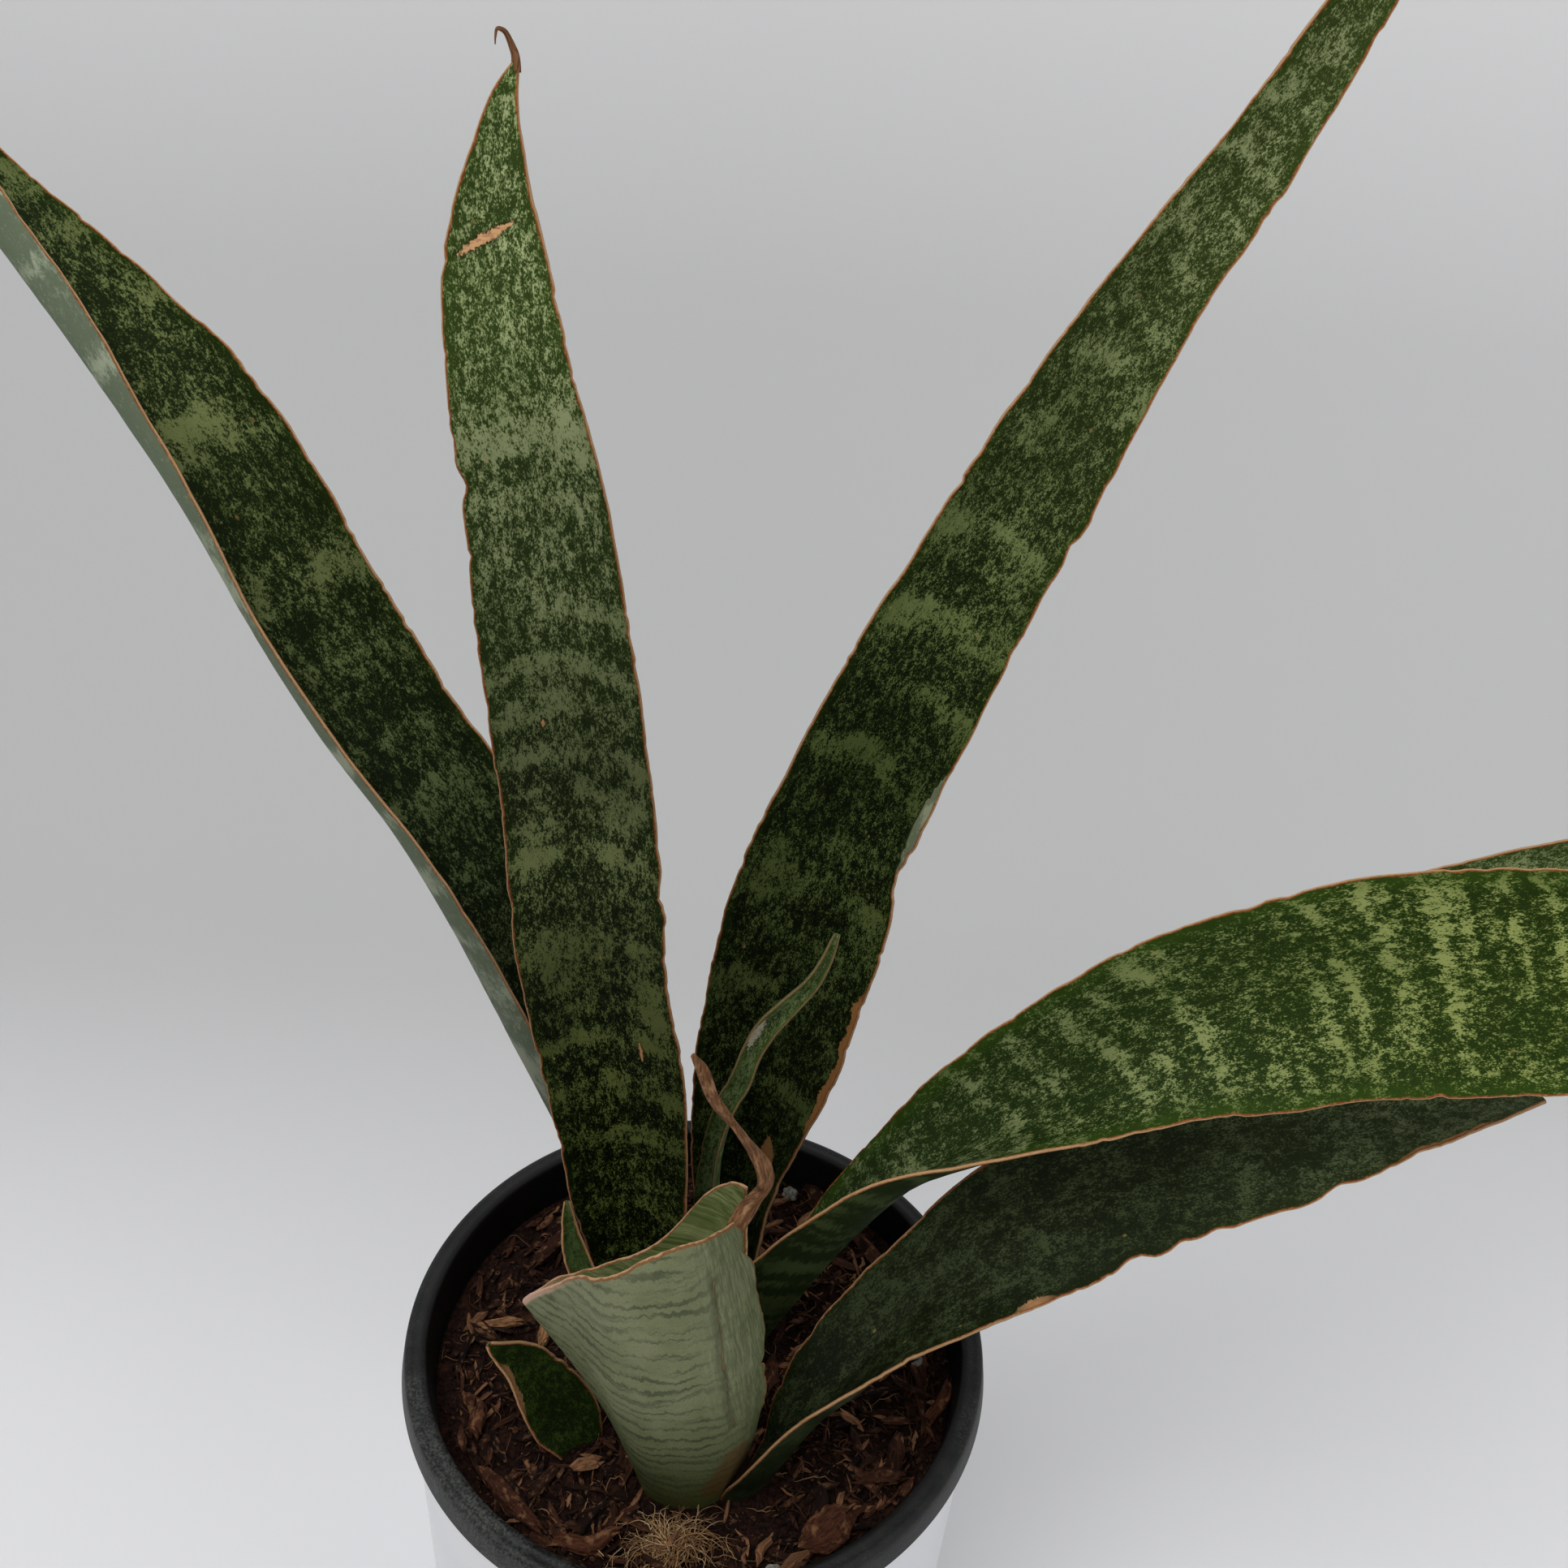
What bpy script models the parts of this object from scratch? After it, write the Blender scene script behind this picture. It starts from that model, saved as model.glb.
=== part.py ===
"""A potted snake plant: ten leaves and a rhizome in a bark and peat mix, in a
dark nursery pot that stands inside a white cachepot.

Metres, +Z up. The origin is the middle of the cachepot's underside. Leaves lean
towards -X and +X, and the upper faces of the tall ones look towards -Y.

Each leaf is a loft. Its table gives, from the buried base to the tip,
    x, y, z        the midrib, mm
    left, right    width of each half of the blade, mm
    roll           turn of the blade about its midrib, degrees
    rise           how steeply the halves rise from the midrib, degrees
"""
import math

import bmesh
import bpy
import numpy as np
from mathutils import Vector

MM = 0.001

# ---------------------------------------------------------------- pot sizes, mm
RIM_TOP = 145.0          # top of the nursery pot's rolled rim
RIM_RADIUS = 77.5        # outside of the rim at its top
SKIRT_RADIUS = 78.6      # outside of the rim's skirt
SKIRT_DEPTH = 7.5
RIM_INNER = 71.6
NURSERY_WALL = 1.2
NURSERY_BASE_RADIUS = 56.0
NURSERY_FLOOR = 1.8
CACHE_TOP = 143.2
CACHE_RADIUS = 76.2      # outside, under the skirt
CACHE_BASE_RADIUS = 73.5
CACHE_WALL = 3.4
CACHE_FLOOR = 4.0
SOIL_TOP = 131.0         # 14 mm under the rim
DRAIN_HOLE_RADIUS = 4.5
DRAIN_HOLE_RING = 34.0
DRAIN_HOLES = 5
GAP = 0.3                # between pieces that rest on each other
POCKET = 0.45            # clearance of the soil around a leaf base
RHIZOME_RADIUS = 6.5
RHIZOME_Z = 110.5
ROUND_STEPS = 48

# ---------------------------------------------------------------- blade sizes, mm
BLADE_THICKNESS = 2.6    # at the midrib, near the base
MARGIN_THICKNESS = 0.9

LEAF_CENTRE_TALL = [
    (-12, 6, 118.8, 8, 8, 0, 30),
    (-14, 8, 136.5, 10.5, 10.5, 0, 29),
    (-19, 12, 182, 16, 16, 1, 22),
    (-24, 15, 224, 18.5, 18.5, 1, 19),
    (-29, 19, 251, 19, 19, 1, 18),
    (-33.5, 25, 297.5, 18.5, 18.5, 1, 18),
    (-38.5, 30, 331.5, 18, 18, 0, 17),
    (-43.5, 36, 364.5, 16, 16, 0, 17),
    (-49, 41, 387.5, 14, 14, 0, 16),
    (-52, 46, 411, 11, 11, 1, 16),
    (-51.5, 48.5, 432, 5.5, 5.5, 1, 17),
    (-50, 49, 442, 2.5, 2.5, 1, 13),
    (-48, 49.5, 447.5, 0.6, 0.6, 1, 5),
]
LEAF_LEFT = [
    (-17, 27, 118.8, 6, 8, -60, 25),
    (-22, 29, 134, 8, 11, -66, 32),
    (-39.5, 32, 179.5, 15, 22, -74, 52),
    (-54, 34, 214, 16, 29, -78, 56),
    (-69.5, 38, 249, 15, 31, -77, 56),
    (-83, 45, 271, 15, 30, -71, 54),
    (-103, 54, 296, 15, 31.5, -64, 55),
    (-118, 60, 320, 14.5, 31, -63, 54),
    (-131.5, 64, 345, 14, 30, -70, 55),
    (-145, 68, 364.5, 12, 28, -82, 58),
    (-157.5, 72, 382, 12, 23, -92, 58),
    (-167.5, 76, 394.5, 12.5, 19.5, -96, 59),
    (-176.5, 80, 405.5, 12, 16, -99, 58),
    (-185, 84, 417.5, 9.5, 12, -100, 56),
    (-193.5, 88, 427.5, 5.5, 7, -101, 54),
    (-198.5, 91, 435, 1.2, 1.2, -100, 47),
]
LEAF_RIGHT_TALL = [
    (10, 29, 118.8, 8, 8, 38, 33),
    (10, 34, 133.5, 11, 11, 36, 33),
    (10, 42.5, 160.5, 16, 16, 29, 30),
    (13.5, 48, 187.5, 20.5, 20.5, 24, 27),
    (18.5, 54.5, 213, 23.5, 23.5, 21, 25),
    (24, 62, 242, 24, 24, 17, 26),
    (31, 70, 270, 22, 22, 12, 30),
    (45, 75, 306, 20, 20, 11, 23),
    (58.5, 80, 337, 17.5, 17.5, 10, 21),
    (73.5, 86, 368, 16, 16, 8, 22),
    (88.5, 91, 400, 12.5, 12.5, 7, 24),
    (103, 95, 424, 10.5, 10.5, 7, 22),
    (115.5, 98, 445.5, 8.5, 8.5, 8, 21),
    (124.5, 100.5, 463, 7, 7, 9, 20),
    (132, 103, 479, 5, 5, 8, 16),
    (136.5, 105, 493, 2, 2, 8, 14),
    (138.5, 106, 500, 0.6, 0.6, 6, 5),
]
LEAF_RIGHT_ARCHING = [
    (14, 5.5, 118.8, 10, 10, 128, 32),
    (17, 6, 131, 15, 15, 126, 33),
    (25.5, 4, 153.5, 19, 21, 122, 35),
    (39, 3, 181.5, 19.5, 22, 118, 35),
    (51, 2.5, 200, 18.5, 20, 108, 36),
    (66, 5, 213, 19.5, 19, 84, 38),
    (86, 8, 231, 22, 19.5, 58, 34),
    (107, 8.5, 251, 23, 22, 38, 22),
    (129.5, 7.5, 264, 25, 25, 31, 17),
    (149, 6.5, 272, 26, 26, 30, 15),
    (173, 5, 277.5, 26.5, 26.5, 29, 14),
    (192, 3.5, 280.5, 25.5, 25.5, 30, 14),
    (213, 2.5, 283.5, 21.5, 21.5, 31, 14),
    (234, 1, 284.5, 15.5, 15.5, 34, 15),
    (253, -1.5, 285, 8, 8, 39, 15),
    (265.5, -2.5, 285, 1.2, 1.2, 45, 12),
]
LEAF_RIGHT_LOW = [
    (15.5, -38, 118.8, 5, 5, 125, 35),
    (17, -39.5, 131, 7, 7, 122, 37),
    (22, -40.5, 142.5, 10, 9, 116, 37),
    (33, -33, 156.5, 14.5, 14, 100, 35),
    (46, -22.5, 167, 16, 16.5, 79, 33),
    (59, -12.5, 180.5, 14, 18.5, 58, 28),
    (72, -5.5, 191, 16, 20.5, 47, 24),
    (88.5, -1, 202, 18.5, 21.5, 43, 21),
    (106.5, 2.5, 211, 21, 21, 43, 20),
    (127, 7.5, 216, 19.5, 19.5, 44, 18),
    (151, 12, 220.5, 16.5, 16.5, 49, 17),
    (173.5, 14, 225.5, 11.5, 11.5, 62, 17),
    (194, 15.5, 229, 6.5, 6.5, 80, 17),
    (209, 18, 230.5, 1.2, 1.2, 96, 12),
]
LEAF_RIGHT_REAR = [
    (24, 33, 118.8, 3.5, 3.5, 78, 30),
    (27.5, 35.5, 131, 4, 4, 78, 32),
    (33, 36, 146, 4.5, 4.5, 76, 34),
    (41, 36, 159, 5.5, 5.5, 72, 34),
    (53.5, 38, 174.5, 6.5, 6.5, 66, 34),
    (70, 41, 189, 8, 8, 58, 32),
    (91, 44, 205, 9.5, 9.5, 50, 30),
    (113, 47, 220.5, 10.5, 10.5, 44, 28),
    (137, 50, 235.5, 11, 11, 39, 26),
    (160.5, 53, 248.5, 11, 11, 36, 25),
    (184, 55.5, 259.5, 11.5, 11.5, 34, 24),
    (203.5, 57.5, 267, 10.5, 10.5, 32, 23),
    (221.5, 59, 273.5, 9.5, 9.5, 32, 23),
    (242, 59.5, 281.5, 7.5, 7.5, 33, 22),
    (258, 60, 287, 4.5, 4.5, 35, 20),
    (270, 60.5, 291, 1.0, 1.0, 35, 12),
]
LEAF_YOUNG_TWISTED = [
    (-1, 20, 118.8, 4, 4, 60, 35),
    (0, 20, 140, 5, 5, 58, 36),
    (2, 20, 168, 5.5, 5.5, 52, 40),
    (3.2, 20, 196, 4.6, 4.6, 44, 44),
    (6, 19.5, 210.5, 4.0, 4.0, 34, 46),
    (8.5, 18.8, 219, 3.8, 3.8, 24, 47),
    (10.5, 18, 229.5, 3.6, 3.6, 16, 48),
    (13.5, 17, 238.5, 3.8, 3.8, 12, 47),
    (18, 15.3, 247, 3.3, 3.3, 10, 46),
    (23, 14, 255, 2.4, 2.4, 10, 45),
    (26, 12.2, 263.5, 1.5, 1.5, 8, 40),
    (28, 11, 272.5, 0.6, 0.6, 5, 20),
]
LEAF_SMALL_LEFT = [
    (-27.5, -29, 118.8, 4.5, 4.5, -38, 20),
    (-28.5, -28, 131.5, 6.5, 6.5, -37, 20),
    (-32.5, -27, 141, 9, 9, -37, 20),
    (-37.5, -27.5, 153, 8.5, 8.5, -43, 22),
    (-42, -29, 163, 6.5, 6.5, -50, 26),
    (-46, -32.5, 171.5, 3.5, 3.5, -55, 28),
    (-48, -36, 178.5, 0.7, 0.7, -40, 18),
]
LEAF_BASAL_SHEATH = [
    (-24, -3, 118.8, 4, 4, -18, 26),
    (-25.5, -1.5, 136, 4.8, 4.8, -18, 28),
    (-30.5, 1, 158, 4.2, 4.2, -18, 30),
    (-33.5, 2.5, 169, 3.4, 3.4, -14, 30),
    (-35, 3.2, 179, 1.9, 1.9, -12, 26),
    (-35.3, 3.5, 185.5, 0.6, 0.6, -8, 15),
]

# The short front leaf is rolled into an open funnel. Each vein runs from an
# angle on the small oval base up to a point of the slanting rim, and bows
# outwards by the last number.
FUNNEL_BASE = (1.0, -37.5, 119.0, 7.5, 4.0)      # centre, then half length and depth
FUNNEL_NECK = (0.5, -38.5, 134.0, 10.8, 6.0)
FUNNEL_VEINS = [
    # angle, rim x, rim y, rim z, bow
    (-12, 9, -26.5, 216.5, 10.5),
    (-45, 2.5, -40, 224.5, 7.5),
    (-80, -7, -46, 225.0, 6.0),
    (-110, -18, -47, 219.0, 5.0),
    (-140, -29, -41, 209.0, 1.0),
    (-172, -40, -31, 189.0, -3.2),
    (150, -33, -22, 186.5, -2.6),
    (118, -20, -17, 188.0, 2.0),
    (88, -8, -15, 196.0, 3.0),
    (60, 3.5, -14.5, 214.0, 3.0),
    (35, 11.5, -18, 218.0, 2.5),
]
FUNNEL_WALL = 1.8
# the dried twisted point of the same leaf: x, y, z, radius
FUNNEL_TIP = [
    (8.8, -26.5, 215, 1.8),
    (12, -21.5, 217, 2.6),
    (15, -20, 220.5, 2.5),
    (15, -21.5, 226.5, 2.1),
    (11.5, -23, 236, 1.7),
    (6.5, -25, 246.5, 1.4),
    (2.5, -27, 255, 1.2),
    (-0.3, -29, 265, 1.0),
    (-2, -31, 270.5, 0.6),
]

# loose pieces on the soil: x, y, heading, length, width, height, tilt (mm and degrees)
BARK_CHIPS = {
    "bark_chip_left": (-55, 4, 6, 11, 3.2, 2.6, 4),
    "bark_chip_upright": (-42, 3, 84, 10, 3.0, 3.2, 12),
    "bark_chip_rim_front_left": (-42.5, -46.5, -42, 24, 3.4, 2.4, 3),
    "bark_chip_front_right": (37, -49, 35, 13, 10.0, 3.4, 5),
    "bark_chip_rim_right": (66, -12, 70, 17, 3.2, 2.6, 5),
    "bark_chip_back_left": (-45, 33, 55, 15, 4.0, 2.8, 6),
    "bark_chip_back_right": (34, 58, -35, 13, 5.0, 3.0, 5),
    "bark_chip_right_fan": (38, 10, 30, 14, 4.0, 2.8, 8),
    "bark_chip_front": (-22, -56, 15, 14, 4.5, 3.0, 4),
    "bark_chip_low_left": (-56, -24, -60, 12, 4.2, 3.0, 5),
    "bark_chip_rear": (-8, 55, 20, 12, 5.0, 3.2, 6),
    "bark_chip_right_front": (50, -34, 5, 12, 4.0, 3.0, 6),
}
GRAINS = {
    "perlite_grain_right": (61, 2, 2.2),
    "perlite_grain_front": (24, -60, 1.9),
    "gravel_grain_back": (24, 61, 2.4),
}
COIR_TUFT = (-1, -57.5, 12.0, 8.5, 3.2)          # x, y, half length, half width, half height

# ---------------------------------------------------------------- colours
COLOURS = {
    "cachepot": ((0.80, 0.80, 0.81), 0.35),
    "nursery_pot": ((0.035, 0.042, 0.040), 0.5),
    "potting_mix": ((0.035, 0.018, 0.012), 0.95),
    "rhizome": ((0.45, 0.30, 0.14), 0.7),
    "leaf": ((0.045, 0.085, 0.025), 0.45),
    "leaf_pale": ((0.20, 0.26, 0.18), 0.5),
    "bark": ((0.13, 0.055, 0.030), 0.9),
    "grain": ((0.52, 0.50, 0.45), 0.85),
    "coir": ((0.36, 0.22, 0.10), 0.9),
}


def material(name, kind):
    colour, roughness = COLOURS[kind]
    made = bpy.data.materials.new(name)
    made.use_nodes = True
    shader = made.node_tree.nodes["Principled BSDF"]
    shader.inputs["Base Color"].default_value = (*colour, 1.0)
    shader.inputs["Roughness"].default_value = roughness
    shader.inputs["Metallic"].default_value = 0.0
    return made


def new_object(name, verts, faces, kind, smooth_angle=40):
    mesh = bpy.data.meshes.new(name)
    mesh.from_pydata([tuple(float(c) * MM for c in v) for v in verts], [], faces)
    bm = bmesh.new()
    bm.from_mesh(mesh)
    bmesh.ops.recalc_face_normals(bm, faces=bm.faces)
    bm.to_mesh(mesh)
    bm.free()
    mesh.shade_smooth()
    mesh.set_sharp_from_angle(angle=math.radians(smooth_angle))
    obj = bpy.data.objects.new(name, mesh)
    bpy.context.scene.collection.objects.link(obj)
    if kind:
        mesh.materials.append(material(name, kind))
    return obj


def guide(obj):
    obj.hide_render = True
    obj.display_type = "WIRE"
    return obj


def cut(target, cutter, solver="EXACT"):
    modifier = target.modifiers.new(cutter.name, "BOOLEAN")
    modifier.operation = "DIFFERENCE"
    modifier.solver = solver
    modifier.object = cutter


# ---------------------------------------------------------------- turned pieces
def turned(name, profile, kind, steps=ROUND_STEPS, height=None, angle=40):
    """Turn an open profile that starts and ends on the axis into a closed solid."""
    verts, faces, rings = [], [], []
    for r, z in profile:
        if r < 1e-6:
            rings.append([len(verts)])
            verts.append((0, 0, z))
            continue
        ring = []
        for k in range(steps):
            a = 2 * math.pi * k / steps
            x, y = r * math.cos(a), r * math.sin(a)
            ring.append(len(verts))
            verts.append((x, y, z + (height(x, y, z) if height else 0)))
        rings.append(ring)
    for a, b in zip(rings, rings[1:]):
        for k in range(steps):
            n = (k + 1) % steps
            if len(a) == 1:
                faces.append((a[0], b[n], b[k]))
            elif len(b) == 1:
                faces.append((a[k], a[n], b[0]))
            else:
                faces.append((a[k], a[n], b[n], b[k]))
    return new_object(name, verts, faces, kind, angle)


def nursery_outer(z):
    """Outside radius of the nursery pot's wall at a height."""
    top = RIM_INNER + NURSERY_WALL - 0.4
    return NURSERY_BASE_RADIUS + (top - NURSERY_BASE_RADIUS) * (z / (RIM_TOP - 2.0)) ** 0.75


def nursery_inner(z):
    return nursery_outer(z) - NURSERY_WALL


def make_pots():
    base = CACHE_FLOOR + GAP
    wall = [8, 30, 60, 90, 118, 134]
    profile = [(0, base), (DRAIN_HOLE_RING - 9, base), (DRAIN_HOLE_RING + 9, base)]
    profile += [(nursery_outer(base) - 2.0, base), (nursery_outer(base), base + 1.6)]
    profile += [(nursery_outer(z), z) for z in wall]
    profile += [
        (nursery_outer(RIM_TOP - 5), RIM_TOP - 5),
        (RIM_INNER + 1.4, RIM_TOP - 1.5),
        (RIM_RADIUS - 1.6, RIM_TOP - 1.5),
        (RIM_RADIUS - 0.9, RIM_TOP - 2.6),
        (SKIRT_RADIUS - 1.2, RIM_TOP - SKIRT_DEPTH),
        (SKIRT_RADIUS, RIM_TOP - SKIRT_DEPTH),
        (RIM_RADIUS + 0.2, RIM_TOP - 1.9),
        (RIM_RADIUS - 0.3, RIM_TOP - 0.6),
        (RIM_RADIUS - 1.3, RIM_TOP),
        (RIM_INNER + 1.4, RIM_TOP),
        (RIM_INNER + 0.3, RIM_TOP - 0.4),
        (RIM_INNER, RIM_TOP - 1.4),
    ]
    profile += [(nursery_inner(z), z) for z in reversed(wall[1:])]
    floor = base + NURSERY_FLOOR
    profile += [(nursery_inner(floor) - 1.0, floor), (DRAIN_HOLE_RING + 9, floor), (DRAIN_HOLE_RING - 9, floor), (0, floor)]
    pot = turned("nursery_pot", profile, "nursery_pot")
    for k in range(DRAIN_HOLES):
        a = 2 * math.pi * (k + 0.5) / DRAIN_HOLES
        bpy.ops.mesh.primitive_cylinder_add(
            vertices=16, radius=DRAIN_HOLE_RADIUS * MM, depth=6 * MM,
            location=(DRAIN_HOLE_RING * MM * math.cos(a), DRAIN_HOLE_RING * MM * math.sin(a), (base + 0.8) * MM))
        hole = bpy.context.object
        hole.name = "drain_cutter_%d" % k
        cut(pot, guide(hole), "MANIFOLD")

    slope = (CACHE_RADIUS - CACHE_BASE_RADIUS) / CACHE_TOP

    def outer(z):
        return CACHE_BASE_RADIUS + slope * z

    profile = [(0, 0), (outer(0) - 3.0, 0), (outer(1.0) - 0.9, 0.9), (outer(3), 3)]
    profile += [(outer(z), z) for z in (48, 96, CACHE_TOP - 1.2)]
    profile += [(outer(CACHE_TOP) - 0.7, CACHE_TOP - 0.2), (outer(CACHE_TOP) - 1.7, CACHE_TOP),
                (outer(CACHE_TOP) - 2.7, CACHE_TOP - 0.2), (outer(CACHE_TOP) - CACHE_WALL, CACHE_TOP - 1.2)]
    profile += [(outer(z) - CACHE_WALL, z) for z in (96, 48, CACHE_FLOOR + 3)]
    profile += [(outer(CACHE_FLOOR) - CACHE_WALL - 3.0, CACHE_FLOOR), (0, CACHE_FLOOR)]
    turned("cachepot", profile, "cachepot")


def soil_height(x, y, z):
    """Gentle unevenness of the top of the mix; nothing on its sides and bottom."""
    if z < SOIL_TOP - 1:
        return 0.0
    edge = max(0.0, 1 - (math.hypot(x, y) / 68.0) ** 6)
    return edge * (0.9 * math.sin(x * 0.13 + 1.1) * math.cos(y * 0.11 - 0.4) + 0.6 * math.sin(x * 0.05 - y * 0.17))


def make_soil():
    bottom = CACHE_FLOOR + GAP + NURSERY_FLOOR + GAP
    side = GAP
    levels = [SOIL_TOP - 4, 90, 60, 30]
    profile = [(0, SOIL_TOP)] + [(r, SOIL_TOP) for r in (12, 26, 40, 54, 64)]
    profile += [(nursery_inner(SOIL_TOP - 1.5) - side - 0.6, SOIL_TOP - 1.2)]
    profile += [(nursery_inner(z) - side - 0.25, z) for z in levels]
    profile += [(nursery_inner(bottom + 2) - side - 1.6, bottom), (0, bottom)]
    profile.reverse()
    return turned("potting_mix", profile, "potting_mix", height=soil_height, angle=60)


# ---------------------------------------------------------------- blades
def smooth_rows(table, between):
    """Rows of the table with smooth rows put between them (Catmull-Rom)."""
    rows = np.array(table, float)
    step = np.maximum(np.linalg.norm(np.diff(rows[:, :3], axis=0), axis=1), 1e-6)
    at = np.concatenate([[0], np.cumsum(step)])
    slope = np.gradient(rows, at, axis=0)
    out, where = [], []
    for i in range(len(rows) - 1):
        h = at[i + 1] - at[i]
        for k in range(between + 1):
            t = k / (between + 1)
            a, b = 2 * t**3 - 3 * t**2 + 1, t**3 - 2 * t**2 + t
            c, d = -2 * t**3 + 3 * t**2, t**3 - t**2
            out.append(a * rows[i] + b * h * slope[i] + c * rows[i + 1] + d * h * slope[i + 1])
            where.append((at[i] + t * h) / at[-1])
    out.append(rows[-1])
    where.append(1.0)
    out = np.array(out)
    out[:, 3:5] = np.maximum(out[:, 3:5], 0.5)
    return out, np.array(where)


def frames(spine):
    """Tangent, across and face directions of the blade along its midrib."""
    along = np.gradient(spine, axis=0)
    along /= np.linalg.norm(along, axis=1)[:, None]
    across = np.cross(np.array([0.0, 1.0, 0.0]), along)
    across /= np.linalg.norm(across, axis=1)[:, None]
    return along, across, np.cross(across, along)


def half_point(width, rise, s):
    """Place of a point a share s out from the midrib: outwards and up from the blade."""
    rise = math.radians(rise)
    if abs(rise) < 1e-3:
        return width * s, 0.0
    scale = width / (math.sin(rise / 2) / (rise / 2))
    a0, a1 = 0.5 * rise, 0.5 * rise + rise * s
    return (scale / rise * (math.sin(a1) - math.sin(a0)), scale / rise * (math.cos(a0) - math.cos(a1)))


def blade(name, table, kind, between=0, shares=(1, 0.66, 0.33, 0), grow=0.0, thick=1.0):
    rows, where = smooth_rows(table, between)
    along, across, face = frames(rows[:, :3])
    verts, rings = [], []
    outs = [(-1, s) for s in shares[:-1]] + [(0, 0)] + [(1, s) for s in reversed(shares[:-1])]
    for i, (x, y, z, left, right, roll, rise) in enumerate(rows):
        c, s_ = math.cos(math.radians(roll)), math.sin(math.radians(roll))
        side = c * across[i] + s_ * face[i]
        up = np.cross(side, along[i])
        centre = np.array([x, y, z]) + along[i] * (-4 * grow if i == 0 else 0)
        middle = thick * BLADE_THICKNESS * (1 - 0.45 * where[i])
        mid, off = [], []
        for sign, s in outs:
            width = left if sign < 0 else right
            out, lift = half_point(width + grow, rise, s)
            a = math.radians(rise) * (0.5 + s) if sign else 0.0
            mid.append(centre + side * (sign * out) + up * lift)
            off.append(up * math.cos(a) - side * (sign * math.sin(a)))
        ring = []
        half = [max(MARGIN_THICKNESS, middle * (1 - 0.6 * s * s)) / 2 + grow for _, s in outs]
        for p, n, h in zip(mid, off, half):
            ring.append(p + n * h)
        for p, n, h in reversed(list(zip(mid, off, half))):
            ring.append(p - n * h)
        rings.append(list(range(len(verts), len(verts) + len(ring))))
        verts += ring
    faces, count, n_out = [], len(rings[0]), len(outs)
    for a, b in zip(rings, rings[1:]):
        for k in range(count):
            n = (k + 1) % count
            faces.append((a[k], a[n], b[n], b[k]))
    for ring in (rings[0], rings[-1]):
        for k in range(n_out - 1):
            faces.append((ring[k], ring[k + 1], ring[count - 2 - k], ring[count - 1 - k]))
    return new_object(name, verts, faces, kind, 50)


# ---------------------------------------------------------------- the rolled front leaf
def vein_point(vein, t, push=0.0):
    angle, x, y, z, bow = vein
    a = math.radians(angle)
    bx, by, bz, ba, bb = FUNNEL_BASE
    nx, ny, nz, na, nb = FUNNEL_NECK
    p0 = Vector((bx + ba * math.cos(a), by + bb * math.sin(a), bz))
    p1 = Vector((nx + na * math.cos(a), ny + nb * math.sin(a), nz))
    p2 = Vector((x, y, z))
    out = Vector((math.cos(a), math.sin(a), 0.0))
    if t < 0.15:
        p = p0.lerp(p1, t / 0.15)
    else:
        u = (t - 0.15) / 0.85
        p = p1.lerp(p2, u) + out * (bow * 4 * u * (1 - u) * 0.9)
    return p + out * push


def funnel(name, kind, rows=7, push=0.0, only_base=False):
    veins = FUNNEL_VEINS
    shares = [0.0, 0.15] + [0.15 + 0.85 * k / (rows - 1) for k in range(1, rows)]
    if only_base:
        shares = shares[:3]
    half = FUNNEL_WALL / 2 + push
    verts, grid = [], []
    for side in (1, -1):
        for j, t in enumerate(shares):
            line = []
            for i, vein in enumerate(veins):
                p = vein_point(vein, t)
                q = vein_point(veins[min(i + 1, len(veins) - 1)], t) - vein_point(veins[max(i - 1, 0)], t)
                r = vein_point(vein, min(t + 0.02, 1.0)) - vein_point(vein, max(t - 0.02, 0.0))
                n = r.cross(q).normalized()
                grow = push if (i in (0, len(veins) - 1)) else 0.0
                slide = q.normalized() * (grow if i else -grow)
                down = Vector((0, 0, -4 * push if j == 0 else 0))
                line.append(len(verts))
                verts.append(tuple(p + n * (half * side) + slide + down))
            grid.append(line)
    n = len(shares)
    outer, inner = grid[:n], grid[n:]
    faces = []
    for a, b in ((outer, 1), (inner, -1)):
        for j in range(n - 1):
            for i in range(len(veins) - 1):
                f = (a[j][i], a[j][i + 1], a[j + 1][i + 1], a[j + 1][i])
                faces.append(f if b > 0 else f[::-1])
    for j in range(n - 1):
        faces.append((outer[j][0], outer[j + 1][0], inner[j + 1][0], inner[j][0]))
        faces.append((outer[j + 1][-1], outer[j][-1], inner[j][-1], inner[j + 1][-1]))
    for i in range(len(veins) - 1):
        faces.append((outer[0][i + 1], outer[0][i], inner[0][i], inner[0][i + 1]))
        faces.append((outer[-1][i], outer[-1][i + 1], inner[-1][i + 1], inner[-1][i]))
    return new_object(name, verts, faces, kind, 50)


def tube(name, path, kind, sides=8, squash=1.0):
    """A tube along x, y, z, radius points, closed at both ends."""
    pts = np.array([p[:3] for p in path], float)
    radii = [p[3] for p in path]
    along = np.gradient(pts, axis=0)
    along /= np.linalg.norm(along, axis=1)[:, None]
    ref = np.array([0.31, 0.87, 0.38])
    verts, faces, rings = [], [], []
    for p, t, r in zip(pts, along, radii):
        u = np.cross(t, ref)
        u /= np.linalg.norm(u)
        v = np.cross(t, u)
        ring = []
        for k in range(sides):
            a = 2 * math.pi * k / sides
            ring.append(len(verts))
            verts.append(p + r * (math.cos(a) * u + squash * math.sin(a) * v))
        rings.append(ring)
    for a, b in zip(rings, rings[1:]):
        for k in range(sides):
            n = (k + 1) % sides
            faces.append((a[k], a[n], b[n], b[k]))
    faces.append(tuple(reversed(rings[0])))
    faces.append(tuple(rings[-1]))
    return new_object(name, verts, faces, kind, 60)


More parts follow.
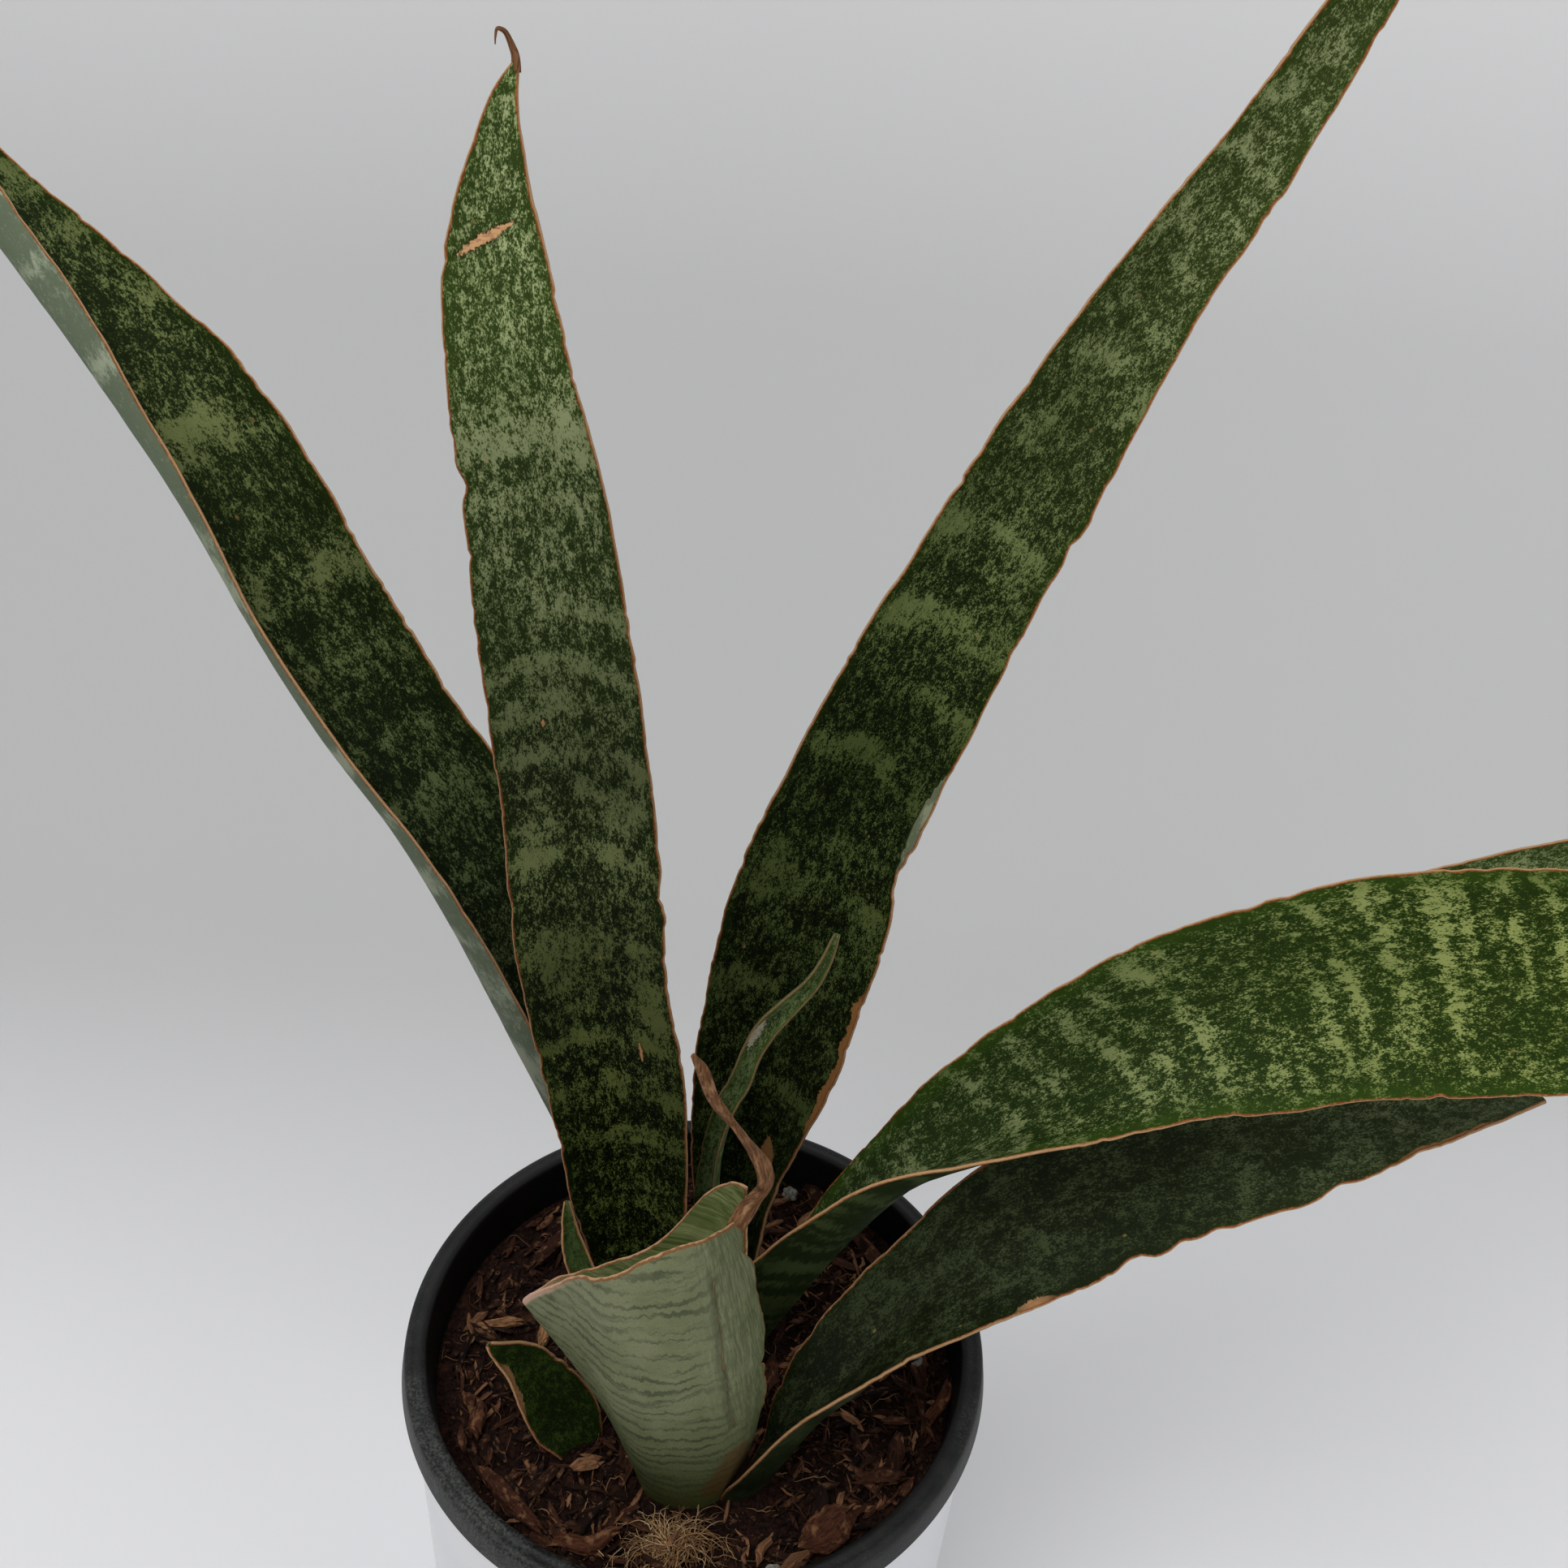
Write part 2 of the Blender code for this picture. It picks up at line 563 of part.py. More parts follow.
def make_front_leaf():
    leaf = funnel("leaf_front_curled", "leaf_pale")
    tip = guide(tube("dried_point_guide", FUNNEL_TIP, None, sides=7, squash=0.6))
    join = leaf.modifiers.new("dried_point", "BOOLEAN")
    join.operation = "UNION"
    join.solver = "EXACT"
    join.object = tip
    return leaf


# ---------------------------------------------------------------- rhizome and loose pieces
RHIZOME_PATH = [(-31, -31), (-14, -35), (4, -36), (15, -30), (16, -8), (13, 10), (4, 26), (-10, 26), (-18, 20)]


def make_rhizome():
    path = []
    count = len(RHIZOME_PATH)
    for k, (x, y) in enumerate(RHIZOME_PATH):
        end = 0.72 if k in (0, count - 1) else 1.0
        path.append((x, y, RHIZOME_Z + 0.8 * math.sin(k * 1.7), RHIZOME_RADIUS * end * (1 + 0.06 * math.sin(k * 2.3))))
    rhizome = tube("rhizome", path, "rhizome", sides=12)
    pocket = guide(tube("rhizome_pocket", [(x, y, z, r + POCKET) for x, y, z, r in stretched(path)], None, sides=12))
    return rhizome, pocket


def stretched(path):
    """The same path, a little longer at each end."""
    out = [list(p) for p in path]
    for end, near in ((0, 1), (-1, -2)):
        d = Vector(path[end][:3]) - Vector(path[near][:3])
        d.normalize()
        for axis in range(3):
            out[end][axis] += d[axis] * POCKET
    return out


def chip(name, spec):
    x, y, heading, length, width, height, tilt = spec
    seed = sum(ord(c) for c in name)
    n = 4
    verts, faces = [], []
    a, b = math.radians(heading), math.radians(tilt)
    drop = 0.5 * length * math.sin(b)
    base = SOIL_TOP + max(soil_height(x + dx, y + dy, SOIL_TOP) for dx in (-7, 0, 7) for dy in (-7, 0, 7)) + 0.5
    for k in range(n):
        t = k / (n - 1) - 0.5
        w = width * (0.5 if k in (0, n - 1) else 0.85 + 0.15 * math.sin(seed + k * 2.1))
        side = 0.12 * width * math.sin(seed * 1.3 + k * 1.9)
        h = height * (0.55 if k in (0, n - 1) else 0.9 + 0.1 * math.sin(seed + k))
        for u, v in ((-0.5, 0), (0.5, 0), (0.36, 1), (-0.36, 1)):
            lx, ly, lz = length * t, side + w * u, h * v
            px = lx * math.cos(b) - lz * math.sin(b)
            pz = lx * math.sin(b) + lz * math.cos(b) + drop
            verts.append((x + px * math.cos(a) - ly * math.sin(a), y + px * math.sin(a) + ly * math.cos(a), base + pz))
    for k in range(n - 1):
        for j in range(4):
            m = (j + 1) % 4
            faces.append((4 * k + j, 4 * k + m, 4 * k + 4 + m, 4 * k + 4 + j))
    faces.append((3, 2, 1, 0))
    faces.append((4 * n - 4, 4 * n - 3, 4 * n - 2, 4 * n - 1))
    return new_object(name, verts, faces, "bark", 30)


def lump(name, centre, size, kind, rings=6, steps=10, rough=0.12):
    verts, faces = [(centre[0], centre[1], centre[2] - size[2])], []
    for j in range(1, rings):
        p = math.pi * j / rings
        for k in range(steps):
            a = 2 * math.pi * k / steps
            w = 1 + rough * math.sin(3.1 * k + 2.3 * j) * math.sin(p)
            verts.append((centre[0] + size[0] * w * math.sin(p) * math.cos(a),
                          centre[1] + size[1] * w * math.sin(p) * math.sin(a),
                          centre[2] - size[2] * math.cos(p)))
    top = len(verts)
    verts.append((centre[0], centre[1], centre[2] + size[2]))
    for k in range(steps):
        n = (k + 1) % steps
        faces.append((0, 1 + n, 1 + k))
        for j in range(rings - 2):
            a, b = 1 + j * steps, 1 + (j + 1) * steps
            faces.append((a + k, a + n, b + n, b + k))
        faces.append((top, 1 + (rings - 2) * steps + k, 1 + (rings - 2) * steps + n))
    return new_object(name, verts, faces, kind, 60)


BLADES = [
    ("leaf_centre_tall", LEAF_CENTRE_TALL, 1, 1.0),
    ("leaf_left", LEAF_LEFT, 1, 0.85),
    ("leaf_right_tall", LEAF_RIGHT_TALL, 1, 1.0),
    ("leaf_right_arching", LEAF_RIGHT_ARCHING, 1, 1.0),
    ("leaf_right_low", LEAF_RIGHT_LOW, 1, 0.9),
    ("leaf_right_rear", LEAF_RIGHT_REAR, 0, 0.8),
    ("leaf_young_twisted", LEAF_YOUNG_TWISTED, 1, 0.65),
    ("leaf_small_left", LEAF_SMALL_LEFT, 1, 0.75),
    ("leaf_basal_sheath", LEAF_BASAL_SHEATH, 1, 0.6),
]


def buried(table):
    """The rows of a blade that lie in the soil, with one more above it."""
    low = [row for row in table if row[2] < SOIL_TOP + 12]
    return low + [table[len(low)]] if len(low) < len(table) else low


def main():
    for obj in list(bpy.data.objects):
        bpy.data.objects.remove(obj, do_unlink=True)
    make_pots()
    soil = make_soil()
    rhizome, pocket = make_rhizome()
    cut(soil, pocket)
    for name, table, between, thick in BLADES:
        blade(name, table, "leaf", between, thick=thick)
        hole = guide(blade(name + "_pocket", buried(table), None, between, grow=POCKET, thick=thick))
        cut(soil, hole)
    make_front_leaf()
    cut(soil, guide(funnel("leaf_front_pocket", None, push=POCKET, only_base=True)))
    for name, spec in BARK_CHIPS.items():
        chip(name, spec)
    for name, (x, y, r) in GRAINS.items():
        lump(name, (x, y, SOIL_TOP + soil_height(x, y, SOIL_TOP) + r + 0.9), (r * 1.15, r, r * 0.9), "grain", 5, 7)
    x, y, a, b, c = COIR_TUFT
    lump("coir_tuft", (x, y, SOIL_TOP + soil_height(x, y, SOIL_TOP) + c + 0.9), (a, b, c), "coir", 6, 12, 0.18)


main()
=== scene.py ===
"""Looks of the potted snake plant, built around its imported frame. Metres, +Z up."""

import math

import bpy
import numpy as np
from mathutils import Matrix, Vector


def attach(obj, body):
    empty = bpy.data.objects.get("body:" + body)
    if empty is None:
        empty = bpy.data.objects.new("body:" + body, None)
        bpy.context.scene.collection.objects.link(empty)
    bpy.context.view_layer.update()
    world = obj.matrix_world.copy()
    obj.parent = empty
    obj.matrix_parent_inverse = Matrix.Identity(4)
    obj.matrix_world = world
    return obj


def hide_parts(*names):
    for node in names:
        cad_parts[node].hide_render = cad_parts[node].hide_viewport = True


MM = 0.001
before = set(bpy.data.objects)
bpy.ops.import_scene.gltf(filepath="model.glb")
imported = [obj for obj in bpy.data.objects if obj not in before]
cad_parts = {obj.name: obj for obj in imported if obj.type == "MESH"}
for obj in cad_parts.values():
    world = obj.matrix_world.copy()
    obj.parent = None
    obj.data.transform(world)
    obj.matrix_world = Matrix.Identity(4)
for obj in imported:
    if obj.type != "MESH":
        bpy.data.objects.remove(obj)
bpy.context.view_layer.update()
SCENE = bpy.context.scene
SCENE.view_settings.view_transform = "Standard"
SCENE.view_settings.look = "None"


# ------------------------------------------------------------------ camera
def add_camera():
    pitch, roll = math.radians(32.1), math.radians(4.0)
    view = Vector((0, math.cos(pitch), -math.sin(pitch)))
    right0 = Vector((1, 0, 0))
    up0 = right0.cross(view)
    right = math.cos(roll) * right0 + math.sin(roll) * up0
    up = -math.sin(roll) * right0 + math.cos(roll) * up0
    data = bpy.data.cameras.new("camera")
    data.sensor_width, data.lens = 36.0, 34.66
    data.clip_start, data.clip_end = 0.01, 50
    cam = bpy.data.objects.new("camera", data)
    SCENE.collection.objects.link(cam)
    m = Matrix.Identity(4)
    for k in range(3):
        m[k][0], m[k][1], m[k][2] = right[k], up[k], -view[k]
    m[0][3], m[1][3], m[2][3] = 0.0132, -0.2683, 0.4878
    cam.matrix_world = m
    SCENE.camera = cam


add_camera()


# ------------------------------------------------------------------ noise for shapes
def _hash(cells, seed):
    h = np.full(cells.shape[0], (seed * 374761393) & 0xFFFFFFFF, np.uint64)
    for k in range(cells.shape[1]):
        h = (h ^ (cells[:, k].astype(np.int64).astype(np.uint64) * np.uint64(0x9E3779B1))) & np.uint64(0xFFFFFFFF)
        h = (h * np.uint64(0x85EBCA6B)) & np.uint64(0xFFFFFFFF)
        h ^= h >> np.uint64(13)
        h = (h * np.uint64(0xC2B2AE35)) & np.uint64(0xFFFFFFFF)
        h ^= h >> np.uint64(16)
    return h.astype(np.float64) / 4294967295.0 * 2 - 1


def vnoise(points, seed=0):
    """Smooth value noise from -1 to 1 at an (n, d) array of points."""
    p = np.asarray(points, float)
    if p.ndim == 1:
        p = p[:, None]
    base = np.floor(p)
    f = p - base
    f = f * f * f * (f * (f * 6 - 15) + 10)
    total = np.zeros(len(p))
    d = p.shape[1]
    for corner in range(1 << d):
        offset = np.array([(corner >> k) & 1 for k in range(d)], float)
        weight = np.prod(np.where(offset[None, :] > 0, f, 1 - f), axis=1)
        total += weight * _hash(base + offset, seed)
    return total


def fbm(points, seed=0, octaves=3, gain=0.5):
    p = np.asarray(points, float)
    if p.ndim == 1:
        p = p[:, None]
    total, amp, norm = np.zeros(len(p)), 1.0, 0.0
    for k in range(octaves):
        total += amp * vnoise(p * (2.03 ** k) + 17.3 * k, seed + 31 * k)
        norm += amp
        amp *= gain
    return total / norm


def smoothstep(a, b, x):
    t = np.clip((x - a) / (b - a), 0, 1)
    return t * t * (3 - 2 * t)


# ------------------------------------------------------------------ meshes
def add_mesh(name, verts, quads, attrs=None, material=None, smooth=True, tris=None):
    """A mesh object from millimetre points, quads (and triangles), with point attributes."""
    verts = np.asarray(verts, float) * MM
    mesh = bpy.data.meshes.new(name)
    faces = [tuple(int(i) for i in q) for q in quads]
    if tris is not None:
        faces += [tuple(int(i) for i in t) for t in tris]
    mesh.from_pydata(verts.tolist(), [], faces)
    for key, values in (attrs or {}).items():
        layer = mesh.attributes.new(key, "FLOAT", "POINT")
        layer.data.foreach_set("value", np.asarray(values, np.float32))
    if smooth:
        mesh.shade_smooth()
    mesh.update()
    obj = bpy.data.objects.new(name, mesh)
    SCENE.collection.objects.link(obj)
    if material:
        mesh.materials.append(material)
    return obj


def finish_piece(obj, slot, *nodes):
    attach(obj, "root")
    if nodes:
        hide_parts(*nodes)
    return obj


# ------------------------------------------------------------------ node tree helper
class Tree:
    """Short calls for shader nodes. Values are numbers, colours or output sockets."""

    def __init__(self, name):
        self.mat = bpy.data.materials.new(name)
        self.mat.use_nodes = True
        self.nt = self.mat.node_tree
        self.nt.nodes.clear()
        self.out = self.nt.nodes.new("ShaderNodeOutputMaterial")
        self.bsdf = self.nt.nodes.new("ShaderNodeBsdfPrincipled")
        self.nt.links.new(self.bsdf.outputs[0], self.out.inputs["Surface"])
        self.cache = {}

    def put(self, socket, value):
        if isinstance(value, bpy.types.NodeSocket):
            self.nt.links.new(value, socket)
        elif isinstance(value, (tuple, list)) and socket.type == "RGBA" and len(value) == 3:
            socket.default_value = (*value, 1.0)
        else:
            socket.default_value = value

    def attr(self, name):
        if name not in self.cache:
            n = self.nt.nodes.new("ShaderNodeAttribute")
            n.attribute_name = name
            self.cache[name] = n.outputs["Fac"]
        return self.cache[name]

    def m(self, op, a, b=0.0, c=0.0, clamp=False):
        n = self.nt.nodes.new("ShaderNodeMath")
        n.operation, n.use_clamp = op, clamp
        for k, v in enumerate((a, b, c)):
            self.put(n.inputs[k], v)
        return n.outputs[0]

    def add(self, a, b):
        return self.m("ADD", a, b)

    def sub(self, a, b):
        return self.m("SUBTRACT", a, b)

    def mul(self, a, b):
        return self.m("MULTIPLY", a, b)

    def mad(self, a, b, c):
        return self.m("MULTIPLY_ADD", a, b, c)

    def step(self, value, lo, hi, a=0.0, b=1.0):
        n = self.nt.nodes.new("ShaderNodeMapRange")
        n.interpolation_type = "SMOOTHSTEP"
        for key, v in (("Value", value), ("From Min", lo), ("From Max", hi), ("To Min", a), ("To Max", b)):
            self.put(n.inputs[key], v)
        return n.outputs[0]

    def vec(self, x, y=0.0, z=0.0):
        n = self.nt.nodes.new("ShaderNodeCombineXYZ")
        for k, v in enumerate((x, y, z)):
            self.put(n.inputs[k], v)
        return n.outputs[0]

    def coords(self, kind="Object"):
        n = self.nt.nodes.new("ShaderNodeTexCoord")
        return n.outputs[kind]

    def noise(self, vector, scale=1.0, detail=2.0, rough=0.5, distortion=0.0):
        n = self.nt.nodes.new("ShaderNodeTexNoise")
        self.put(n.inputs["Vector"], vector)
        for key, v in (("Scale", scale), ("Detail", detail), ("Roughness", rough), ("Distortion", distortion)):
            self.put(n.inputs[key], v)
        return n.outputs["Fac"]

    def voronoi(self, vector, scale=1.0, feature="F1", randomness=1.0):
        n = self.nt.nodes.new("ShaderNodeTexVoronoi")
        n.feature = feature
        self.put(n.inputs["Vector"], vector)
        self.put(n.inputs["Scale"], scale)
        self.put(n.inputs["Randomness"], randomness)
        return n.outputs["Distance"]

    def mix(self, fac, a, b):
        n = self.nt.nodes.new("ShaderNodeMix")
        n.data_type = "RGBA"
        self.put(n.inputs[0], fac)
        self.put(n.inputs[6], a)
        self.put(n.inputs[7], b)
        return n.outputs[2]

    def mixf(self, fac, a, b):
        n = self.nt.nodes.new("ShaderNodeMix")
        n.data_type = "FLOAT"
        self.put(n.inputs[0], fac)
        self.put(n.inputs[2], a)
        self.put(n.inputs[3], b)
        return n.outputs[0]

    def bump(self, height, strength, distance, normal=None):
        n = self.nt.nodes.new("ShaderNodeBump")
        self.put(n.inputs["Strength"], strength)
        self.put(n.inputs["Distance"], distance)
        self.put(n.inputs["Height"], height)
        if normal is not None:
            self.put(n.inputs["Normal"], normal)
        return n.outputs[0]

    def segment(self, a, l, p, q, radius, soft, wobble=None, taper=0.0):
        """1 within radius (mm) of the line from p to q in leaf coordinates (across, along), fading over soft."""
        px, py = p
        dx, dy = q[0] - px, q[1] - py
        d2 = dx * dx + dy * dy + 1e-9
        ax, ly = self.sub(a, px), self.sub(l, py)
        t = self.m("DIVIDE", self.add(self.mul(ax, dx), self.mul(ly, dy)), d2, clamp=True)
        ex, ey = self.sub(ax, self.mul(t, dx)), self.sub(ly, self.mul(t, dy))
        d = self.m("SQRT", self.add(self.mul(ex, ex), self.mul(ey, ey)))
        if wobble is not None:
            d = self.add(d, wobble)
        if taper:
            mid = self.mad(t, 2.0, -1.0)
            d = self.add(d, self.mul(self.mul(mid, mid), taper))
        return self.step(d, radius, radius + soft, 1.0, 0.0)


def srgb(text):
    """A linear colour from a hex one."""
    out = []
    for k in (1, 3, 5):
        c = int(text[k:k + 2], 16) / 255
        out.append(c / 12.92 if c <= 0.04045 else ((c + 0.055) / 1.055) ** 2.4)
    return tuple(out)


# ------------------------------------------------------------------ leaves: tables, mm
# x, y, z of the midrib, widths of the two halves, roll and rise in degrees, as in the solids
# --- geometry start
LEAF_CENTRE_TALL = [
    (-12, 6, 118.8, 8, 8, 0, 30),
    (-14, 8, 136.5, 10.5, 10.5, 0, 29),
    (-19, 12, 182, 16, 16, 1, 22),
    (-24, 15, 224, 18.5, 18.5, 1, 19),
    (-29, 19, 251, 19, 19, 1, 18),
    (-33.5, 25, 297.5, 18.5, 18.5, 1, 18),
    (-38.5, 30, 331.5, 18, 18, 0, 17),
    (-43.5, 36, 364.5, 16, 16, 0, 17),
    (-49, 41, 387.5, 14, 14, 0, 16),
    (-52, 46, 411, 11, 11, 1, 16),
    (-51.5, 48.5, 432, 5.5, 5.5, 1, 17),
    (-50, 49, 442, 2.5, 2.5, 1, 13),
    (-48, 49.5, 447.5, 0.6, 0.6, 1, 5),
]
LEAF_LEFT = [
    (-17, 27, 118.8, 6, 8, -60, 25),
    (-22, 29, 134, 8, 11, -66, 32),
    (-39.5, 32, 179.5, 15, 22, -74, 52),
    (-54, 34, 214, 16, 29, -78, 56),
    (-69.5, 38, 249, 15, 31, -77, 56),
    (-83, 45, 271, 15, 30, -71, 54),
    (-103, 54, 296, 15, 31.5, -64, 55),
    (-118, 60, 320, 14.5, 31, -63, 54),
    (-131.5, 64, 345, 14, 30, -70, 55),
    (-145, 68, 364.5, 12, 28, -82, 58),
    (-157.5, 72, 382, 12, 23, -92, 58),
    (-167.5, 76, 394.5, 12.5, 19.5, -96, 59),
    (-176.5, 80, 405.5, 12, 16, -99, 58),
    (-185, 84, 417.5, 9.5, 12, -100, 56),
    (-193.5, 88, 427.5, 5.5, 7, -101, 54),
    (-198.5, 91, 435, 1.2, 1.2, -100, 47),
]
LEAF_RIGHT_TALL = [
    (10, 29, 118.8, 8, 8, 38, 33),
    (10, 34, 133.5, 11, 11, 36, 33),
    (10, 42.5, 160.5, 16, 16, 29, 30),
    (13.5, 48, 187.5, 20.5, 20.5, 24, 27),
    (18.5, 54.5, 213, 23.5, 23.5, 21, 25),
    (24, 62, 242, 24, 24, 17, 26),
    (31, 70, 270, 22, 22, 12, 30),
    (45, 75, 306, 20, 20, 11, 23),
    (58.5, 80, 337, 17.5, 17.5, 10, 21),
    (73.5, 86, 368, 16, 16, 8, 22),
    (88.5, 91, 400, 12.5, 12.5, 7, 24),
    (103, 95, 424, 10.5, 10.5, 7, 22),
    (115.5, 98, 445.5, 8.5, 8.5, 8, 21),
    (124.5, 100.5, 463, 7, 7, 9, 20),
    (132, 103, 479, 5, 5, 8, 16),
    (136.5, 105, 493, 2, 2, 8, 14),
    (138.5, 106, 500, 0.6, 0.6, 6, 5),
]
LEAF_RIGHT_ARCHING = [
    (14, 5.5, 118.8, 10, 10, 128, 32),
    (17, 6, 131, 15, 15, 126, 33),
    (25.5, 4, 153.5, 19, 21, 122, 35),
    (39, 3, 181.5, 19.5, 22, 118, 35),
    (51, 2.5, 200, 18.5, 20, 108, 36),
    (66, 5, 213, 19.5, 19, 84, 38),
    (86, 8, 231, 22, 19.5, 58, 34),
    (107, 8.5, 251, 23, 22, 38, 22),
    (129.5, 7.5, 264, 25, 25, 31, 17),
    (149, 6.5, 272, 26, 26, 30, 15),
    (173, 5, 277.5, 26.5, 26.5, 29, 14),
    (192, 3.5, 280.5, 25.5, 25.5, 30, 14),
    (213, 2.5, 283.5, 21.5, 21.5, 31, 14),
    (234, 1, 284.5, 15.5, 15.5, 34, 15),
    (253, -1.5, 285, 8, 8, 39, 15),
    (265.5, -2.5, 285, 1.2, 1.2, 45, 12),
]
LEAF_RIGHT_LOW = [
    (15.5, -38, 118.8, 5, 5, 125, 35),
    (17, -39.5, 131, 7, 7, 122, 37),
    (22, -40.5, 142.5, 10, 9, 116, 37),
    (33, -33, 156.5, 14.5, 14, 100, 35),
    (46, -22.5, 167, 16, 16.5, 79, 33),
    (59, -12.5, 180.5, 14, 18.5, 58, 28),
    (72, -5.5, 191, 16, 20.5, 47, 24),
    (88.5, -1, 202, 18.5, 21.5, 43, 21),
    (106.5, 2.5, 211, 21, 21, 43, 20),
    (127, 7.5, 216, 19.5, 19.5, 44, 18),
    (151, 12, 220.5, 16.5, 16.5, 49, 17),
    (173.5, 14, 225.5, 11.5, 11.5, 62, 17),
    (194, 15.5, 229, 6.5, 6.5, 80, 17),
    (209, 18, 230.5, 1.2, 1.2, 96, 12),
]
LEAF_RIGHT_REAR = [
    (24, 33, 118.8, 3.5, 3.5, 78, 30),
    (27.5, 35.5, 131, 4, 4, 78, 32),
    (33, 36, 146, 4.5, 4.5, 76, 34),
    (41, 36, 159, 5.5, 5.5, 72, 34),
    (53.5, 38, 174.5, 6.5, 6.5, 66, 34),
    (70, 41, 189, 8, 8, 58, 32),
    (91, 44, 205, 9.5, 9.5, 50, 30),
    (113, 47, 220.5, 10.5, 10.5, 44, 28),
    (137, 50, 235.5, 11, 11, 39, 26),
    (160.5, 53, 248.5, 11, 11, 36, 25),
    (184, 55.5, 259.5, 11.5, 11.5, 34, 24),
    (203.5, 57.5, 267, 10.5, 10.5, 32, 23),
    (221.5, 59, 273.5, 9.5, 9.5, 32, 23),
    (242, 59.5, 281.5, 7.5, 7.5, 33, 22),
    (258, 60, 287, 4.5, 4.5, 35, 20),
    (270, 60.5, 291, 1.0, 1.0, 35, 12),
]
LEAF_YOUNG_TWISTED = [
    (-1, 20, 118.8, 4, 4, 60, 35),
    (0, 20, 140, 5, 5, 58, 36),
    (2, 20, 168, 5.5, 5.5, 52, 40),
    (3.2, 20, 196, 4.6, 4.6, 44, 44),
    (6, 19.5, 210.5, 4.0, 4.0, 34, 46),
    (8.5, 18.8, 219, 3.8, 3.8, 24, 47),
    (10.5, 18, 229.5, 3.6, 3.6, 16, 48),
    (13.5, 17, 238.5, 3.8, 3.8, 12, 47),
    (18, 15.3, 247, 3.3, 3.3, 10, 46),
    (23, 14, 255, 2.4, 2.4, 10, 45),
    (26, 12.2, 263.5, 1.5, 1.5, 8, 40),
    (28, 11, 272.5, 0.6, 0.6, 5, 20),
]
LEAF_SMALL_LEFT = [
    (-27.5, -29, 118.8, 4.5, 4.5, -38, 20),
    (-28.5, -28, 131.5, 6.5, 6.5, -37, 20),
    (-32.5, -27, 141, 9, 9, -37, 20),
    (-37.5, -27.5, 153, 8.5, 8.5, -43, 22),
    (-42, -29, 163, 6.5, 6.5, -50, 26),
    (-46, -32.5, 171.5, 3.5, 3.5, -55, 28),
    (-48, -36, 178.5, 0.7, 0.7, -40, 18),
]
LEAF_BASAL_SHEATH = [
    (-24, -3, 118.8, 4, 4, -18, 26),
    (-25.5, -1.5, 136, 4.8, 4.8, -18, 28),
    (-30.5, 1, 158, 4.2, 4.2, -18, 30),
    (-33.5, 2.5, 169, 3.4, 3.4, -14, 30),
    (-35, 3.2, 179, 1.9, 1.9, -12, 26),
    (-35.3, 3.5, 185.5, 0.6, 0.6, -8, 15),
]


def dense_rows(table, step):
    rows = np.array(table, float)
    size = np.maximum(np.linalg.norm(np.diff(rows[:, :3], axis=0), axis=1), 1e-6)
    at = np.concatenate([[0], np.cumsum(size)])
    slope = np.gradient(rows, at, axis=0)
    out, along = [], []
    for i in range(len(rows) - 1):
        h = at[i + 1] - at[i]
        n = max(1, int(math.ceil(h / step)))
        for k in range(n):
            t = k / n
            a, b = 2 * t**3 - 3 * t**2 + 1, t**3 - 2 * t**2 + t
            c, d = -2 * t**3 + 3 * t**2, t**3 - t**2
            out.append(a * rows[i] + b * h * slope[i] + c * rows[i + 1] + d * h * slope[i + 1])
            along.append(at[i] + t * h)
    out.append(rows[-1])
    along.append(at[-1])
    out, along = np.array(out), np.array(along)
    out[:, 3:5] = np.maximum(out[:, 3:5], 0.35)
    return out, along


def blade_grid(table, step, shares):
    """The dense table rows with their half widths, their lengths along the midrib, and the midrib's points, tangents,
    side and up directions.
    """
    rows, along = dense_rows(table, step)
    spine = rows[:, :3]
    tangent = np.gradient(spine, axis=0)
    tangent /= np.linalg.norm(tangent, axis=1)[:, None]
    across = np.cross(np.array([0.0, 1.0, 0.0]), tangent)
    across /= np.linalg.norm(across, axis=1)[:, None]
    face = np.cross(across, tangent)
    roll = np.radians(rows[:, 5])[:, None]
    side = np.cos(roll) * across + np.sin(roll) * face
    up = np.cross(side, tangent)
    return rows, along, spine, tangent, side, up


def section(spine, side, up, left, right, rise, shares):
    """Points of the cross-sections for half widths left and right (rows) at the shares -1..1."""
    s = np.abs(shares)[None, :]
    sign = np.sign(shares)[None, :]
    width = np.where(shares[None, :] < 0, left[:, None], right[:, None])
    rise = np.maximum(np.radians(rise)[:, None], 1e-3)
    scale = width / (np.sin(rise / 2) / (rise / 2))
    a0, a1 = 0.5 * rise, 0.5 * rise + rise * s
    out = scale / rise * (np.sin(a1) - np.sin(a0)) * sign
    lift = scale / rise * (np.cos(a0) - np.cos(a1))
    return spine[:, None, :] + side[:, None, :] * out[..., None] + up[:, None, :] * lift[..., None]
# --- geometry end


BLADE_THICKNESS = 2.6
MARGIN_THICKNESS = 0.9


def margin_factor(along, length, seed, sign, spec):
    """How a margin wanders: small waves, ragged bites and the named notches (mm, + outwards)."""
    x = along / spec.get("wave_len", 21.0)
    wander = spec.get("wander", 0.7) * fbm(np.stack([x, np.full_like(x, 3.7 * sign)], 1), seed, 3)
    nick = fbm(np.stack([along / 4.2, np.full_like(x, 9.1 * sign)], 1), seed + 5, 3)
    wander -= spec.get("nicks", 0.5) * np.maximum(0, nick - 0.22) * 2.4
    fine = vnoise(np.stack([along / 1.9, np.full_like(x, 1.3 * sign)], 1), seed + 9)
    wander += spec.get("fine", 0.10) * fine
    for where, depth, reach in spec.get("notch_left" if sign < 0 else "notch_right", ()):
        wander += depth * np.exp(-((along - where) / reach) ** 2)
    return wander


